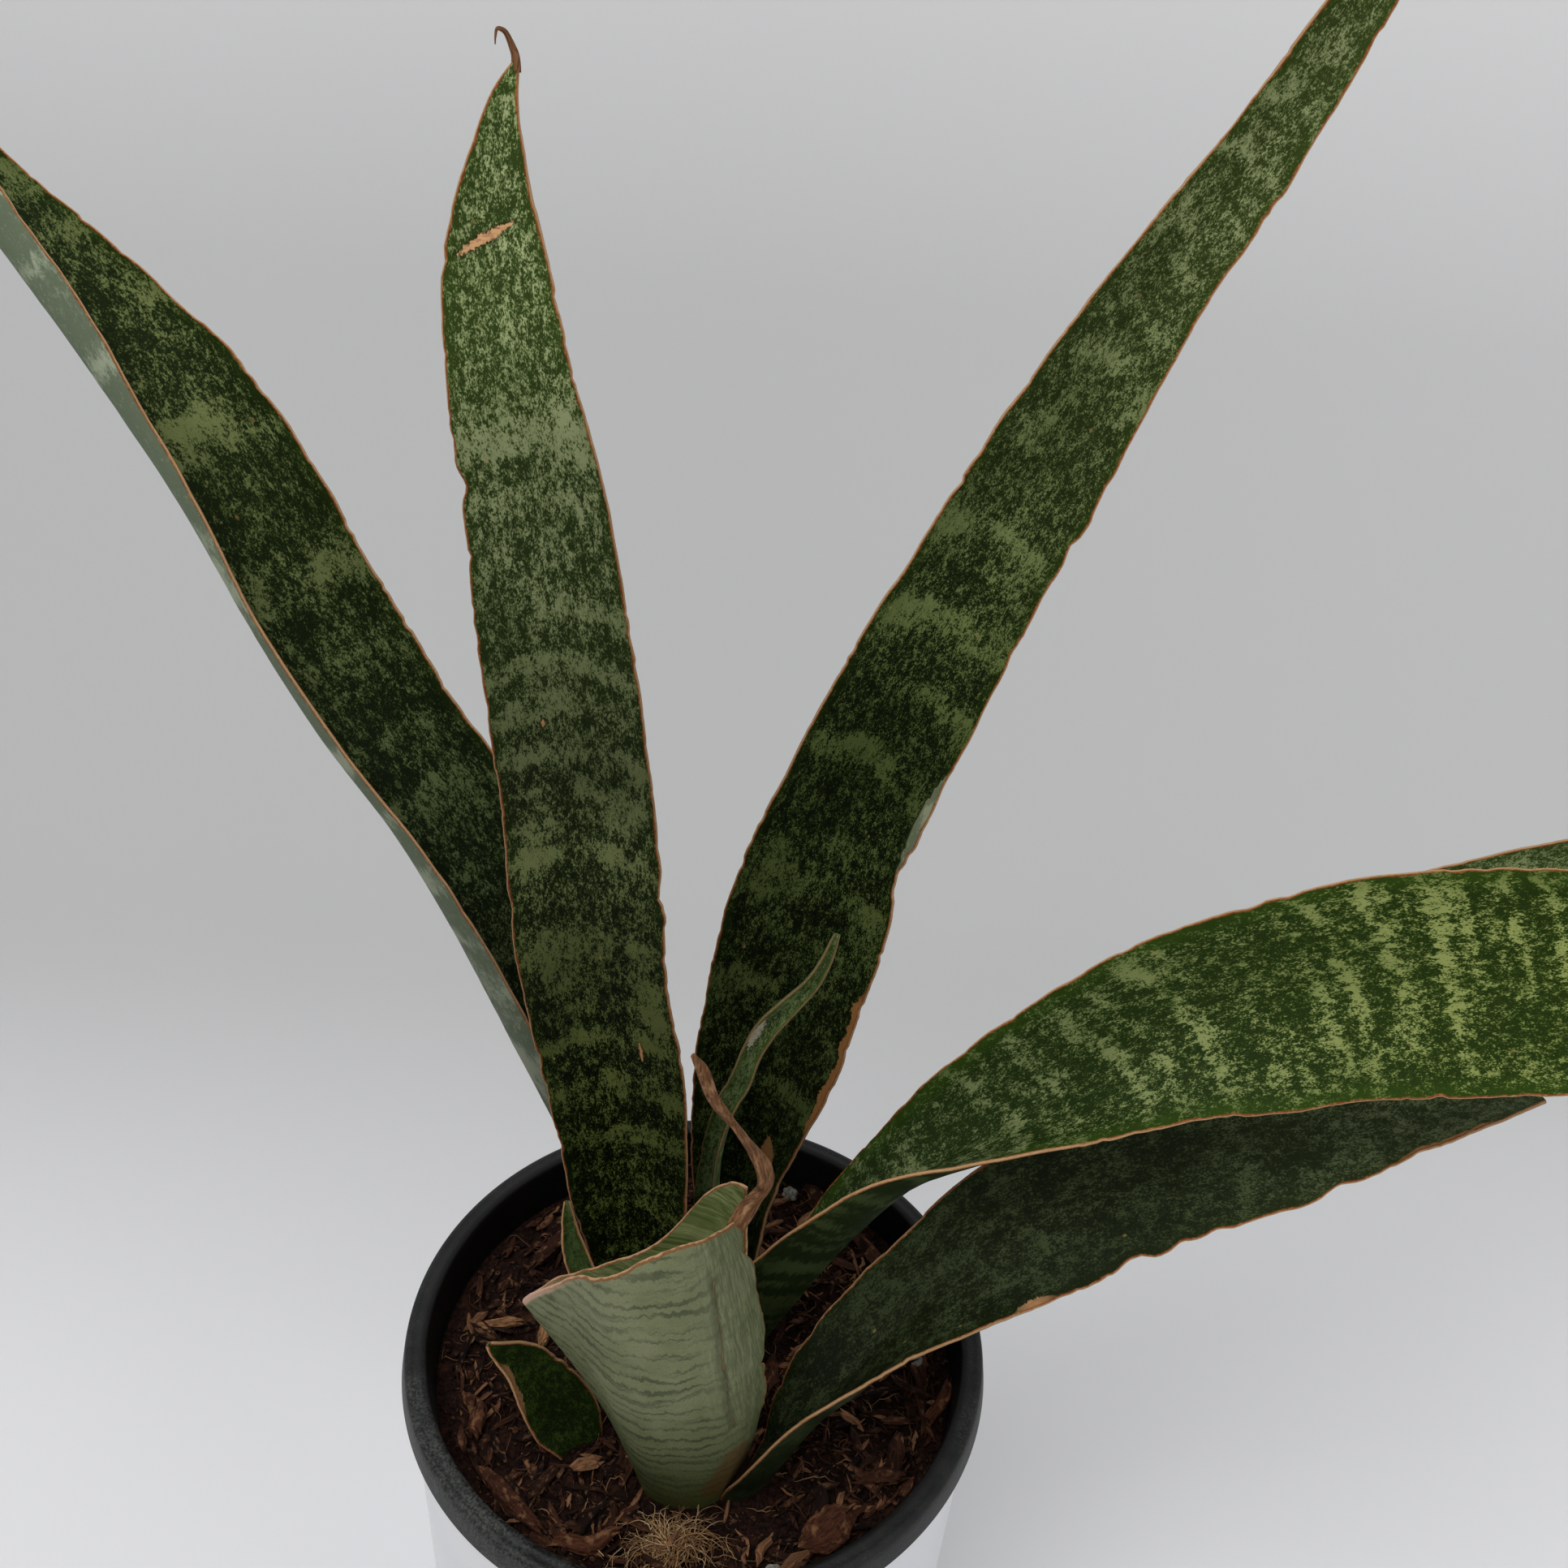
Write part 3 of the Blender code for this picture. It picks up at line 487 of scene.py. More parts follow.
def make_blade(name, table, material, spec, slot="leaf"):
    seed = spec["seed"]
    n_half = spec.get("across", 17)
    half = np.sin(np.linspace(0, math.pi / 2, n_half)) ** 0.9
    shares = np.concatenate([-half[::-1], half[1:]])
    rows, along, spine, tangent, side, up = blade_grid(table, spec.get("step", 1.5), shares)
    length = along[-1]
    where = along / length
    fade = smoothstep(0, 0.05, where) * smoothstep(0, 0.06, 1 - where)
    left = rows[:, 3] + fade * margin_factor(along, length, seed, -1, spec) * np.minimum(1, rows[:, 3] / 8)
    right = rows[:, 4] + fade * margin_factor(along, length, seed, 1, spec) * np.minimum(1, rows[:, 4] / 8)
    left, right = np.maximum(left, 0.25), np.maximum(right, 0.25)
    for lo, hi, which, extra in spec.get("widen", ()):
        bell = smoothstep(lo, lo + 0.35 * (hi - lo), along) * smoothstep(-hi, -hi + 0.35 * (hi - lo), -along)
        if which < 0:
            left = left + extra * bell
        else:
            right = right + extra * bell
    mid = section(spine, side, up, left, right, rows[:, 6], shares)
    # waves of the blade, strongest at its margins
    n_rows, n_s = mid.shape[:2]
    grid_v = np.repeat(along[:, None], n_s, 1)
    grid_s = np.repeat(shares[None, :], n_rows, 0)
    halfw = np.where(grid_s < 0, left[:, None], right[:, None])
    grid_a = grid_s * halfw
    flat = lambda a: a.reshape(-1)
    wave = fbm(np.stack([flat(grid_v) / 34.0, flat(grid_s) * 0.9], 1), seed + 40, 2).reshape(n_rows, n_s)
    ripple = fbm(np.stack([flat(grid_v) / 11.0, flat(grid_s) * 1.4], 1), seed + 50, 2).reshape(n_rows, n_s)
    lift = fade[:, None] * (spec.get("wave", 1.1) * wave * np.abs(grid_s) ** 1.6
                            + spec.get("ripple", 0.45) * ripple * np.abs(grid_s) ** 2.5) * np.minimum(1, halfw / 8)
    # low lengthwise ribs, weakest at the margins, and small crosswise waves
    ribs = vnoise(np.stack([flat(grid_a) / 2.6, flat(grid_v) / 90.0], 1), seed + 60).reshape(n_rows, n_s)
    lift += 0.10 * ribs * (1 - np.abs(grid_s) ** 4)
    lift += spec.get("crosswise", 0.12) * fbm(np.stack([flat(grid_v) / 6.5, flat(grid_a) / 22.0], 1), seed + 70, 2).reshape(n_rows, n_s)
    for lo, hi, which, curl in spec.get("curl", ()):
        bell = smoothstep(lo, lo + 0.4 * (hi - lo), along) * smoothstep(-hi, -hi + 0.4 * (hi - lo), -along)
        part = np.clip(grid_s * which, 0, 1) ** 4
        lift = lift + curl * bell[:, None] * part
    mid = mid + up[:, None, :] * lift[..., None]
    du = np.gradient(mid, axis=1)
    dv = np.gradient(mid, axis=0)
    normal = np.cross(du, dv)
    normal /= np.maximum(np.linalg.norm(normal, axis=2), 1e-9)[..., None]
    sign = np.sign((normal * up[:, None, :]).sum(2).mean())
    normal *= sign
    middle = spec.get("thick", 1.0) * BLADE_THICKNESS * (1 - 0.45 * where)
    thick = np.maximum(MARGIN_THICKNESS, middle[:, None] * (1 - 0.6 * grid_s ** 2))
    thick = np.minimum(thick, np.maximum(0.5, 0.5 * (left + right)[:, None]))
    front = mid + normal * thick[..., None] / 2
    back = mid - normal * thick[..., None] / 2
    out_dir = du / np.maximum(np.linalg.norm(du, axis=2), 1e-9)[..., None]
    bead = spec.get("bead", 0.24)
    edge_r = mid[:, -1] + out_dir[:, -1] * bead
    edge_l = mid[:, 0] - out_dir[:, 0] * bead
    ring = np.concatenate([front, edge_r[:, None, :], back[:, ::-1], edge_l[:, None, :]], axis=1)
    count = ring.shape[1]
    edge_mm = (1 - np.abs(grid_s)) * halfw
    zero = np.full((n_rows, 1), -0.3)
    att_edge = np.concatenate([edge_mm, zero, edge_mm[:, ::-1], zero], 1)
    att_a = np.concatenate([grid_a, grid_a[:, -1:] + 0.3, grid_a[:, ::-1], grid_a[:, :1] - 0.3], 1)
    att_v = np.repeat(along[:, None], count, 1)
    att_b = np.concatenate([np.zeros((n_rows, n_s)), np.full((n_rows, 1), 0.5), np.ones((n_rows, n_s)), np.full((n_rows, 1), 0.5)], 1)
    for lo, hi, which, inner in spec.get("fold", ()):
        bell = np.sin(math.pi * np.clip((along - lo) / (hi - lo), 0, 1))[:, None]
        over = smoothstep(1 - (1 - inner) * bell - 0.01, 1 - (1 - inner) * bell + 0.01, grid_s * which) * (bell > 0.02)
        att_b[:, :n_s] = np.maximum(att_b[:, :n_s], over)
    att_s = np.concatenate([grid_s, np.ones((n_rows, 1)), grid_s[:, ::-1], -np.ones((n_rows, 1))], 1)
    idx = np.arange(n_rows * count).reshape(n_rows, count)
    nxt = np.roll(idx, -1, axis=1)
    a, b, c, d = idx[:-1], nxt[:-1], nxt[1:], idx[1:]
    quads = np.stack([a, b, c, d], -1).reshape(-1, 4)
    caps = []
    for row, flip in ((0, False), (n_rows - 1, True)):
        for k in range(n_s - 1):
            q = (idx[row, k], idx[row, k + 1], idx[row, 2 * n_s - 1 - k], idx[row, 2 * n_s - k])
            caps.append(q if not flip else q[::-1])
        caps.append((idx[row, n_s - 1], idx[row, n_s], idx[row, n_s + 1]) if not flip else (idx[row, n_s + 1], idx[row, n_s], idx[row, n_s - 1]))
        caps.append((idx[row, 2 * n_s + 1], idx[row, 0], idx[row, 2 * n_s]) if not flip else (idx[row, 2 * n_s], idx[row, 0], idx[row, 2 * n_s + 1]))
    if sign * 1 > 0:
        quads = quads[:, ::-1]
        caps = [c[::-1] for c in caps]
    tone = where[:, None] + np.zeros((1, count))
    # shade gain along the blade, kept as the shade attribute: painted shade that darkens the colour towards the base,
    # partly the leaf's own darker base
    at_l, gain = zip(*spec.get("shade", ((0, 1.0), (1, 1.0))))
    shade = np.interp(along, at_l, gain)[:, None] + np.zeros((1, count))
    attrs = {"across": flat(att_a), "along": flat(att_v), "edge": flat(att_edge), "back": flat(att_b),
             "share": flat(att_s), "tone": flat(tone), "shade": flat(shade)}
    obj = add_mesh(name, ring.reshape(-1, 3), list(quads) + caps, attrs, material)
    fix_normals(obj)
    return finish_piece(obj, slot, *spec.get("node", ()))


def fix_normals(obj):
    import bmesh
    bm = bmesh.new()
    bm.from_mesh(obj.data)
    bmesh.ops.recalc_face_normals(bm, faces=bm.faces)
    bm.to_mesh(obj.data)
    bm.free()
    obj.data.shade_smooth()


# ------------------------------------------------------------------ leaf material
def leaf_material(name, seed=0, dark="#26360f", mid="#46552a", light="#8d9668", dark_top=None, mid_top=None,
                  light_top=None, bands=(), band_period=13.0, band_gain=0.24, patch_gain=0.5, mott_gain=1.25,
                  grain_gain=1.0, blot_gain=0.55, cover=0.45, contrast=0.055, slant=0.0, edge_green="#3e5a0c", edge_amount=0.34, edge_reach=3.6,
                  margin_out="#d9b78c", margin_in="#7a3a1c", margin_w=0.0, inner_w=0.20, back_dark="#4a5a44",
                  back_light="#7e8a74", spots=(), dead=(), dead_edge=(), sheen=0.09, back_all=False,
                  gloss=0.50, back_shade=1.0, stain=None, rag=11.0, turn=(0.25, 0.8)):
    t = Tree(name)
    a, l, e, back, share, tone = (t.attr(k) for k in ("across", "along", "edge", "back", "share", "tone"))
    zed = t.mad(back, 57.0, 11.3 * seed)
    # ragged distortion, drawn out along the blade
    rag1 = t.noise(t.vec(t.mul(a, 0.30), t.mul(l, 0.05), zed), 1.0, 3.0, 0.65)
    rag2 = t.noise(t.vec(t.mul(a, 1.3), t.mul(l, 0.26), t.add(zed, 3.0)), 1.0, 2.0, 0.6)
    warped = t.add(t.add(l, t.mad(rag1, rag, -0.5 * rag)), t.mad(rag2, 0.6 * rag, -0.3 * rag))
    warped = t.add(warped, t.mul(t.mul(share, share), 3.0))
    warped = t.add(warped, t.mul(share, slant))
    band = t.noise(t.vec(t.mul(a, 0.014), t.mul(warped, 1.0 / band_period), t.add(zed, 7.0)), 1.0, 2.0, 0.55)
    band = t.step(band, 0.46, 0.68)
    for where, gain, reach in bands:
        d = t.m("ABSOLUTE", t.sub(warped, where))
        band = t.add(band, t.mul(t.step(d, reach * 0.25, reach, 1.0, 0.0), gain))
    patch = t.noise(t.vec(t.mul(a, 0.11), t.mul(l, 0.05), t.add(zed, 21.0)), 1.0, 2.0, 0.55)
    band = t.mul(band, t.step(patch, 0.30, 0.58, 0.35, 1.0))
    blot = t.noise(t.vec(t.mul(a, 0.36), t.mul(l, 0.20), t.add(zed, 27.0)), 1.0, 2.0, 0.6)
    mott = t.noise(t.vec(t.mul(a, 0.95), t.mul(l, 0.50), t.add(zed, 31.0)), 1.0, 3.0, 0.82, 0.15)
    grain = t.noise(t.vec(t.mul(a, 3.0), t.mul(l, 1.7), t.add(zed, 41.0)), 1.0, 2.0, 0.6)
    field = t.add(t.mul(band, band_gain), t.mad(patch, patch_gain, -0.5 * patch_gain))
    field = t.add(field, t.mad(blot, blot_gain, -0.5 * blot_gain))
    field = t.add(field, t.mad(mott, mott_gain, -0.5 * mott_gain))
    field = t.add(field, t.mad(grain, grain_gain, -0.5 * grain_gain))
    field = t.add(field, t.step(e, 0.4, 3.0, -0.07, 0.0))
    field = t.add(field, cover)
    lightness = t.step(field, 0.52 - contrast, 0.66 + contrast)
    soft = t.step(field, 0.38 - contrast, 0.52 + contrast)
    rise = t.step(tone, turn[0], turn[1])
    dark_c = t.mix(rise, srgb(dark), srgb(dark_top or dark))
    mid_c = t.mix(rise, srgb(mid), srgb(mid_top or mid))
    light_c = t.mix(rise, srgb(light), srgb(light_top or light))
    hue = t.noise(t.vec(t.mul(a, 0.05), t.mul(l, 0.02), t.add(zed, 51.0)), 1.0, 2.0, 0.5)
    light_var = t.mix(t.step(hue, 0.35, 0.7), light_c, t.mix(0.35, light_c, mid_c))
    front = t.mix(soft, dark_c, mid_c)
    front = t.mix(lightness, front, light_var)
    # greener just inside the margins
    near = t.mul(t.step(e, 0.3, edge_reach, 1.0, 0.0), t.noise(t.vec(t.mul(a, 0.1), t.mul(l, 0.08), zed), 1.0, 2.0, 0.5))
    front = t.mix(t.m("MULTIPLY", near, edge_amount, clamp=True), front, srgb(edge_green))
    # pale underside with dark cross bands
    bfield = t.add(t.mul(band, 0.50), t.add(t.mul(mott, 0.75), t.mul(grain, 0.35)))
    under = t.mix(t.step(bfield, 0.55, 0.95), srgb(back_dark), srgb(back_light))
    if back_shade != 1.0:
        under = t.mix(1.0 - back_shade, under, (0.0, 0.0, 0.0))
    colour = under if back_all else t.mix(t.step(back, 0.45, 0.55), front, under)
    # painted shade: the colour is darkened by the shade gain along the blade, most towards the base, partly the leaf's
    # own darker base
    dim = t.m("SUBTRACT", 1.0, t.attr("shade"))
    colour = t.mix(dim, colour, (0.0, 0.0, 0.0))
    # small pale flecks
    fleck = t.voronoi(t.vec(t.mul(a, 0.11), t.mul(l, 0.075), t.add(zed, 61.0)), 1.0)
    fleck = t.step(fleck, 0.030, 0.055, 1.0, 0.0)
    colour = t.mix(t.mul(fleck, 0.5), colour, srgb("#8f7a4a"))
    wob = t.mad(t.noise(t.vec(t.mul(a, 1.1), t.mul(l, 0.9), t.add(zed, 71.0)), 1.0, 3.0, 0.6), 1.6, -0.8)
    scar = None
    for p, q, radius, hue_out in spots:
        wide = radius * (1.6 if math.dist(p, q) > 3 * radius else 1.0)
        taper = wide * (0.95 if math.dist(p, q) > 3 * radius else 0.0)
        spiky = t.mul(t.add(wob, t.mad(t.noise(t.vec(t.mul(a, 2.2), t.mul(l, 1.0), t.add(zed, 75.0)), 1.0, 2.0, 0.5), 3.4, -1.7)), min(1.0, radius))
        mask = t.segment(a, l, p, q, wide, 0.25, spiky, taper)
        mask = t.mul(mask, t.step(back, 0.2, 0.4, 1.0, 0.0))
        rim = t.segment(a, l, p, q, wide + 0.3, 0.5, spiky, taper)
        colour = t.mix(t.mul(rim, 0.6), colour, srgb("#2c2010"))
        inside = t.mix(t.step(t.noise(t.vec(t.mul(a, 0.5), t.mul(l, 1.6), zed), 1.0, 2.0, 0.6), 0.45, 0.75), srgb(hue_out), srgb("#8a5c3c"))
        colour = t.mix(mask, colour, inside)
        scar = mask if scar is None else t.m("MAXIMUM", scar, mask)
    # dead strips along a margin: from, to along the blade, side, width
    ewob = t.noise(t.vec(t.mul(l, 0.30), t.mul(share, 1.5), t.add(zed, 81.0)), 1.0, 3.0, 0.6)
    for lo_v, hi_v, which, width, tint in dead_edge:
        on = t.mul(t.step(l, lo_v, lo_v + 8.0), t.step(l, hi_v - 8.0, hi_v, 1.0, 0.0))
        on = t.mul(on, t.step(t.mul(share, which), 0.0, 0.2))
        reach = t.mul(t.mul(t.mad(ewob, 2.2, -0.2), width), on)
        strip = t.mul(t.step(t.sub(reach, e), -0.15, 0.35), on)
        tan = t.mix(t.noise(t.vec(t.mul(a, 1.7), t.mul(l, 0.35), zed), 1.0, 3.0, 0.65), srgb(tint), srgb("#6b4326"))
        colour = t.mix(strip, colour, tan)
        scar = strip if scar is None else t.m("MAXIMUM", scar, strip)
    if stain:
        lo_v, hi_v, tint, amount = stain
        colour = t.mix(t.mul(t.step(l, lo_v, hi_v, 1.0, 0.0), t.mul(t.step(mott, 0.35, 0.65), amount)), colour, srgb(tint))
    # margin: red-brown line inside a cream one
    fine = t.noise(t.vec(t.mul(l, 0.9), t.mul(share, 2.0), t.add(zed, 91.0)), 1.0, 2.0, 0.5)
    inner = t.add(t.mad(ewob, 1.0, inner_w - 0.5), margin_w)
    red = t.mix(t.step(fine, 0.35, 0.7), srgb(margin_in), srgb("#a05c30"))
    # the margin lines are darkened more weakly by the same painted shade
    red = t.mix(t.mul(dim, 0.65), red, (0.0, 0.0, 0.0))
    colour = t.mix(t.mul(t.step(t.sub(inner, e), -0.18, 0.12), 0.9), colour, red)
    outer = t.mad(fine, 0.9, margin_w - 0.55)
    cream = t.mix(t.step(ewob, 0.35, 0.65), srgb(margin_out), srgb("#b88a58"))
    cream = t.mix(t.mul(dim, 0.5), cream, (0.0, 0.0, 0.0))
    colour = t.mix(t.step(t.sub(outer, e), -0.12, 0.12), colour, cream)
    t.put(t.bsdf.inputs["Base Color"], colour)
    rough = t.mad(mott, 0.24, gloss - 0.02)
    rough = t.mad(grain, 0.10, rough)
    if scar is not None:
        rough = t.mixf(scar, rough, 0.85)
    rough = t.mixf(t.step(t.sub(inner, e), -0.2, 0.2), rough, 0.75)
    t.put(t.bsdf.inputs["Roughness"], rough)
    t.bsdf.inputs["Specular IOR Level"].default_value = sheen
    # lengthwise striations, pores, crosswise ripples and sunken scars
    fib = t.noise(t.vec(t.mul(a, 3.2), t.mul(l, 0.22), t.add(zed, 101.0)), 1.0, 3.0, 0.6)
    pore = t.noise(t.vec(t.mul(a, 3.4), t.mul(l, 2.1), t.add(zed, 111.0)), 1.0, 2.0, 0.6)
    cross = t.noise(t.vec(t.mul(a, 0.12), t.mul(l, 0.55), t.add(zed, 121.0)), 1.0, 2.0, 0.6)
    height = t.add(t.mul(fib, 0.5), t.add(t.mul(pore, 0.45), t.mul(cross, 0.5)))
    if scar is not None:
        height = t.add(height, t.mul(scar, -0.8))
    t.put(t.bsdf.inputs["Normal"], t.bump(height, 0.6, 0.00040))
    return t.mat


# ------------------------------------------------------------------ the leaves
MAT_A = leaf_material("leaf_centre", 1, dark="#0a1500", mid="#35460f", light="#8e9b52", dark_top="#33421a", mid_top="#70804c",
                      light_top="#adb684", band_period=9.0, slant=1.5, patch_gain=0.3, cover=0.43, contrast=0.035, sheen=0.06,
                      bands=((61, 0.4, 3), (85, 0.7, 3.5), (125, 0.5, 3), (166, 1.1, 4.5), (193, 0.6, 3.5), (213, 0.8, 4), (228, 0.5, 3.5)),
                      spots=(((-8.4, 299.5), (3.6, 306), 0.5, "#d8a878"), ((7.9, 108.5), (7.9, 113.5), 0.2, "#a07850"), ((-6.4, 199), (-6.1, 200.6), 0.2, "#94744c")))
MAT_B = leaf_material("leaf_left", 2, dark="#0f1a05", mid="#33411c", light="#66724a", dark_top="#182406", mid_top="#3c4a20", light_top="#7a8450",
                      band_gain=0.27, patch_gain=0.35, cover=0.40, back_dark="#6c7860", back_light="#a5ae94")
MAT_C = leaf_material("leaf_right_tall", 3, dark="#0b1500", mid="#2e3e14", light="#6c7a42", contrast=0.04, sheen=0.07, dark_top="#2f3b14", mid_top="#596439",
                      light_top="#8d9668", band_gain=0.27, patch_gain=0.35, cover=0.42, dead_edge=((66, 118, 1, 2.6, "#9a6c3c"),),
                      spots=(((9.5, 49), (7.0, 60), 1.6, "#8a643c"),), back_dark="#7c8668", back_light="#adb28e", turn=(0.4, 0.9))
# painted shade: the arching leaf's underside colours (back_dark, back_light) are set dark because its downward face
# lies in shade
MAT_D = leaf_material("leaf_arching", 4, dark="#1c2a0a", mid="#3b4a24", light="#768056", dark_top="#1f3004", mid_top="#40521a", light_top="#929c58",
                      cover=0.39, band_gain=0.31, band_period=5.2, rag=9.5, slant=-5.0, patch_gain=0.3, mott_gain=1.35, edge_green="#35500a",
                      edge_amount=0.8, edge_reach=6.0, turn=(0.25, 0.8), back_dark="#1e2a10", back_light="#3e4a28")
MAT_E = leaf_material("leaf_low", 5, dark="#161e08", mid="#2b351a", light="#4c5636", dark_top="#2a341a", mid_top="#444e30", light_top="#68724e",
                      cover=0.44, band_gain=0.12, mott_gain=0.95, turn=(0.55, 0.9), patch_gain=0.4,
                      edge_green="#2c400c", dead_edge=((97, 116, 1, 2.6, "#c89a6c"), (205, 238, 1, 1.2, "#b88a5c")), back_dark="#222c12", back_light="#3e4a2c")
MAT_R = leaf_material("leaf_rear", 6, dark="#2e3e12", mid="#56663a", light="#8e9868", cover=0.5, band_gain=0.2)
MAT_H = leaf_material("leaf_young", 7, dark="#2c3c1a", mid="#50623a", light="#7e8c5a", cover=0.5, band_gain=0.1,
                      spots=(((-2.2, 112), (-2.6, 124), 1.0, "#b9b9a0"),), margin_w=-0.2, inner_w=-0.04, margin_out="#b8ab84", back_dark="#4a5a38", back_light="#74805a")
MAT_G = leaf_material("leaf_small", 8, dark="#18240a", mid="#2a3a14", light="#3e501c", cover=0.45, band_gain=0.1,
                      dead_edge=((33, 60, -1, 2.0, "#c09468"),), edge_green="#2a4010")
MAT_I = leaf_material("leaf_sheath", 9, dark="#2c3c18", mid="#3a4c22", light="#52643a", cover=0.5, band_gain=0.1, edge_green="#3c5018", inner_w=0.1)

# each shade list gives (along mm, gain): painted shade darkening the blade towards its base, partly the leaf's own
# darker base
make_blade("leaf_centre_tall_blade", LEAF_CENTRE_TALL, MAT_A, {"seed": 11, "node": ("leaf_centre_tall",),
            "notch_left": ((255.6, -1.6, 3.0),), "notch_right": ((325, -0.6, 2.5), (158, -0.8, 3), (151, 0.9, 4)),
            "shade": ((0, 0.28), (85, 0.34), (135, 0.25), (166, 0.37), (185, 0.26), (213, 0.39), (228, 0.43), (262, 0.54), (288, 0.97), (336, 1.0))})
make_blade("leaf_left_blade", LEAF_LEFT, MAT_B, {"seed": 12, "thick": 0.85, "node": ("leaf_left",), "wander": 1.0,
            "shade": ((0, 0.3), (90, 0.5), (160, 0.66), (230, 0.8), (300, 0.9), (374, 1.0))})
make_blade("leaf_right_tall_blade", LEAF_RIGHT_TALL, MAT_C, {"seed": 13, "node": ("leaf_right_tall",), "wander": 1.0,
            "shade": ((0, 0.35), (60, 0.42), (130, 0.50), (190, 0.64), (235, 0.86), (330, 0.97), (416, 1.0)),
            "fold": ((148, 184, 1, 0.86),), "widen": ((150, 182, 1, 1.3),), "notch_right": ((147, -1.2, 5), (247, -0.8, 3), (218, -0.7, 3), (264, -0.6, 3))})
make_blade("leaf_right_arching_blade", LEAF_RIGHT_ARCHING, MAT_D, {"seed": 14, "node": ("leaf_right_arching",),
            "shade": ((0, 0.85), (50, 1.0), (331, 1.0))})
make_blade("leaf_right_low_blade", LEAF_RIGHT_LOW, MAT_E, {"seed": 15, "thick": 0.9, "node": ("leaf_right_low",), "wander": 1.1, "notch_right": ((136, -1.6, 4), (149, -1.2, 3), (159, -1.3, 3), (193, -1.5, 4)),
            "shade": ((0, 0.4), (50, 0.5), (90, 0.62), (140, 0.8), (190, 1.0), (250, 1.0))})
make_blade("leaf_right_rear_blade", LEAF_RIGHT_REAR, MAT_R, {"seed": 16, "thick": 0.8, "node": ("leaf_right_rear",), "across": 11})
make_blade("leaf_young_twisted_blade", LEAF_YOUNG_TWISTED, MAT_H, {"seed": 17, "thick": 0.65, "node": ("leaf_young_twisted",), "across": 9, "step": 1.0})
make_blade("leaf_small_left_blade", LEAF_SMALL_LEFT, MAT_G, {"seed": 18, "thick": 0.75, "node": ("leaf_small_left",), "across": 11, "step": 0.8})
make_blade("leaf_basal_sheath_blade", LEAF_BASAL_SHEATH, MAT_I, {"seed": 19, "thick": 0.6, "node": ("leaf_basal_sheath",), "across": 9, "step": 1.0})


# ------------------------------------------------------------------ sheets, tubes, chips and lumps
def sheet(name, mid, thick, front_dir, material, attrs, slot, nodes, bead=0.35, extra_margin=None):
    """A leaf of varying thickness about the middle surface mid (rows, columns, 3), with rounded margins."""
    n_rows, n_s = mid.shape[:2]
    du, dv = np.gradient(mid, axis=1), np.gradient(mid, axis=0)
    normal = np.cross(du, dv)
    normal /= np.maximum(np.linalg.norm(normal, axis=2), 1e-9)[..., None]
    sign = np.sign((normal * front_dir).sum(2).mean())
    normal *= sign
    front, back = mid + normal * thick[..., None] / 2, mid - normal * thick[..., None] / 2
    out_dir = du / np.maximum(np.linalg.norm(du, axis=2), 1e-9)[..., None]
    right = mid[:, -1] + out_dir[:, -1] * bead
    left = mid[:, 0] - out_dir[:, 0] * bead
    ring = np.concatenate([front, right[:, None], back[:, ::-1], left[:, None]], 1)
    count = ring.shape[1]
    top = mid[-1] + (mid[-1] - mid[-2]) / np.maximum(np.linalg.norm(mid[-1] - mid[-2], axis=1), 1e-9)[:, None] * bead
    verts = np.concatenate([ring.reshape(-1, 3), top])
    idx = np.arange(n_rows * count).reshape(n_rows, count)
    nxt = np.roll(idx, -1, axis=1)
    quads = np.stack([idx[:-1], nxt[:-1], nxt[1:], idx[1:]], -1).reshape(-1, 4).tolist()
    caps = []
    last, base = idx[-1], n_rows * count
    for k in range(n_s - 1):
        quads.append([last[k], last[k + 1], base + k + 1, base + k])
        quads.append([base + k, base + k + 1, last[2 * n_s - 1 - k], last[2 * n_s - k]])
        caps.append([idx[0, k + 1], idx[0, k], idx[0, 2 * n_s - k], idx[0, 2 * n_s - 1 - k]])
    caps.append([last[n_s - 1], last[n_s], base + n_s - 1])
    caps.append([last[n_s], last[n_s + 1], base + n_s - 1])
    caps.append([last[2 * n_s], last[2 * n_s + 1], base])
    caps.append([last[2 * n_s + 1], last[0], base])
    caps.append([idx[0, n_s - 1], idx[0, n_s + 1], idx[0, n_s]])
    caps.append([idx[0, 0], idx[0, 2 * n_s + 1], idx[0, 2 * n_s]])
    out = {}
    for key, grid in attrs.items():
        if key == "edge":
            side_r = side_l = np.full((n_rows, 1), -0.3)
            cap = np.full(n_s, -0.3)
        else:
            side_r, side_l, cap = grid[:, -1:], grid[:, :1], grid[-1]
        out[key] = np.concatenate([np.concatenate([grid, side_r, grid[:, ::-1], side_l], 1).reshape(-1), cap])
    half = np.full((n_rows, 1), 0.5)
    out["back"] = np.concatenate([np.concatenate([np.zeros((n_rows, n_s)), half, np.ones((n_rows, n_s)), half], 1).reshape(-1), np.full(n_s, 0.5)])
    obj = add_mesh(name, verts, quads + caps, out, material)
    fix_normals(obj)
    return finish_piece(obj, slot, *nodes)


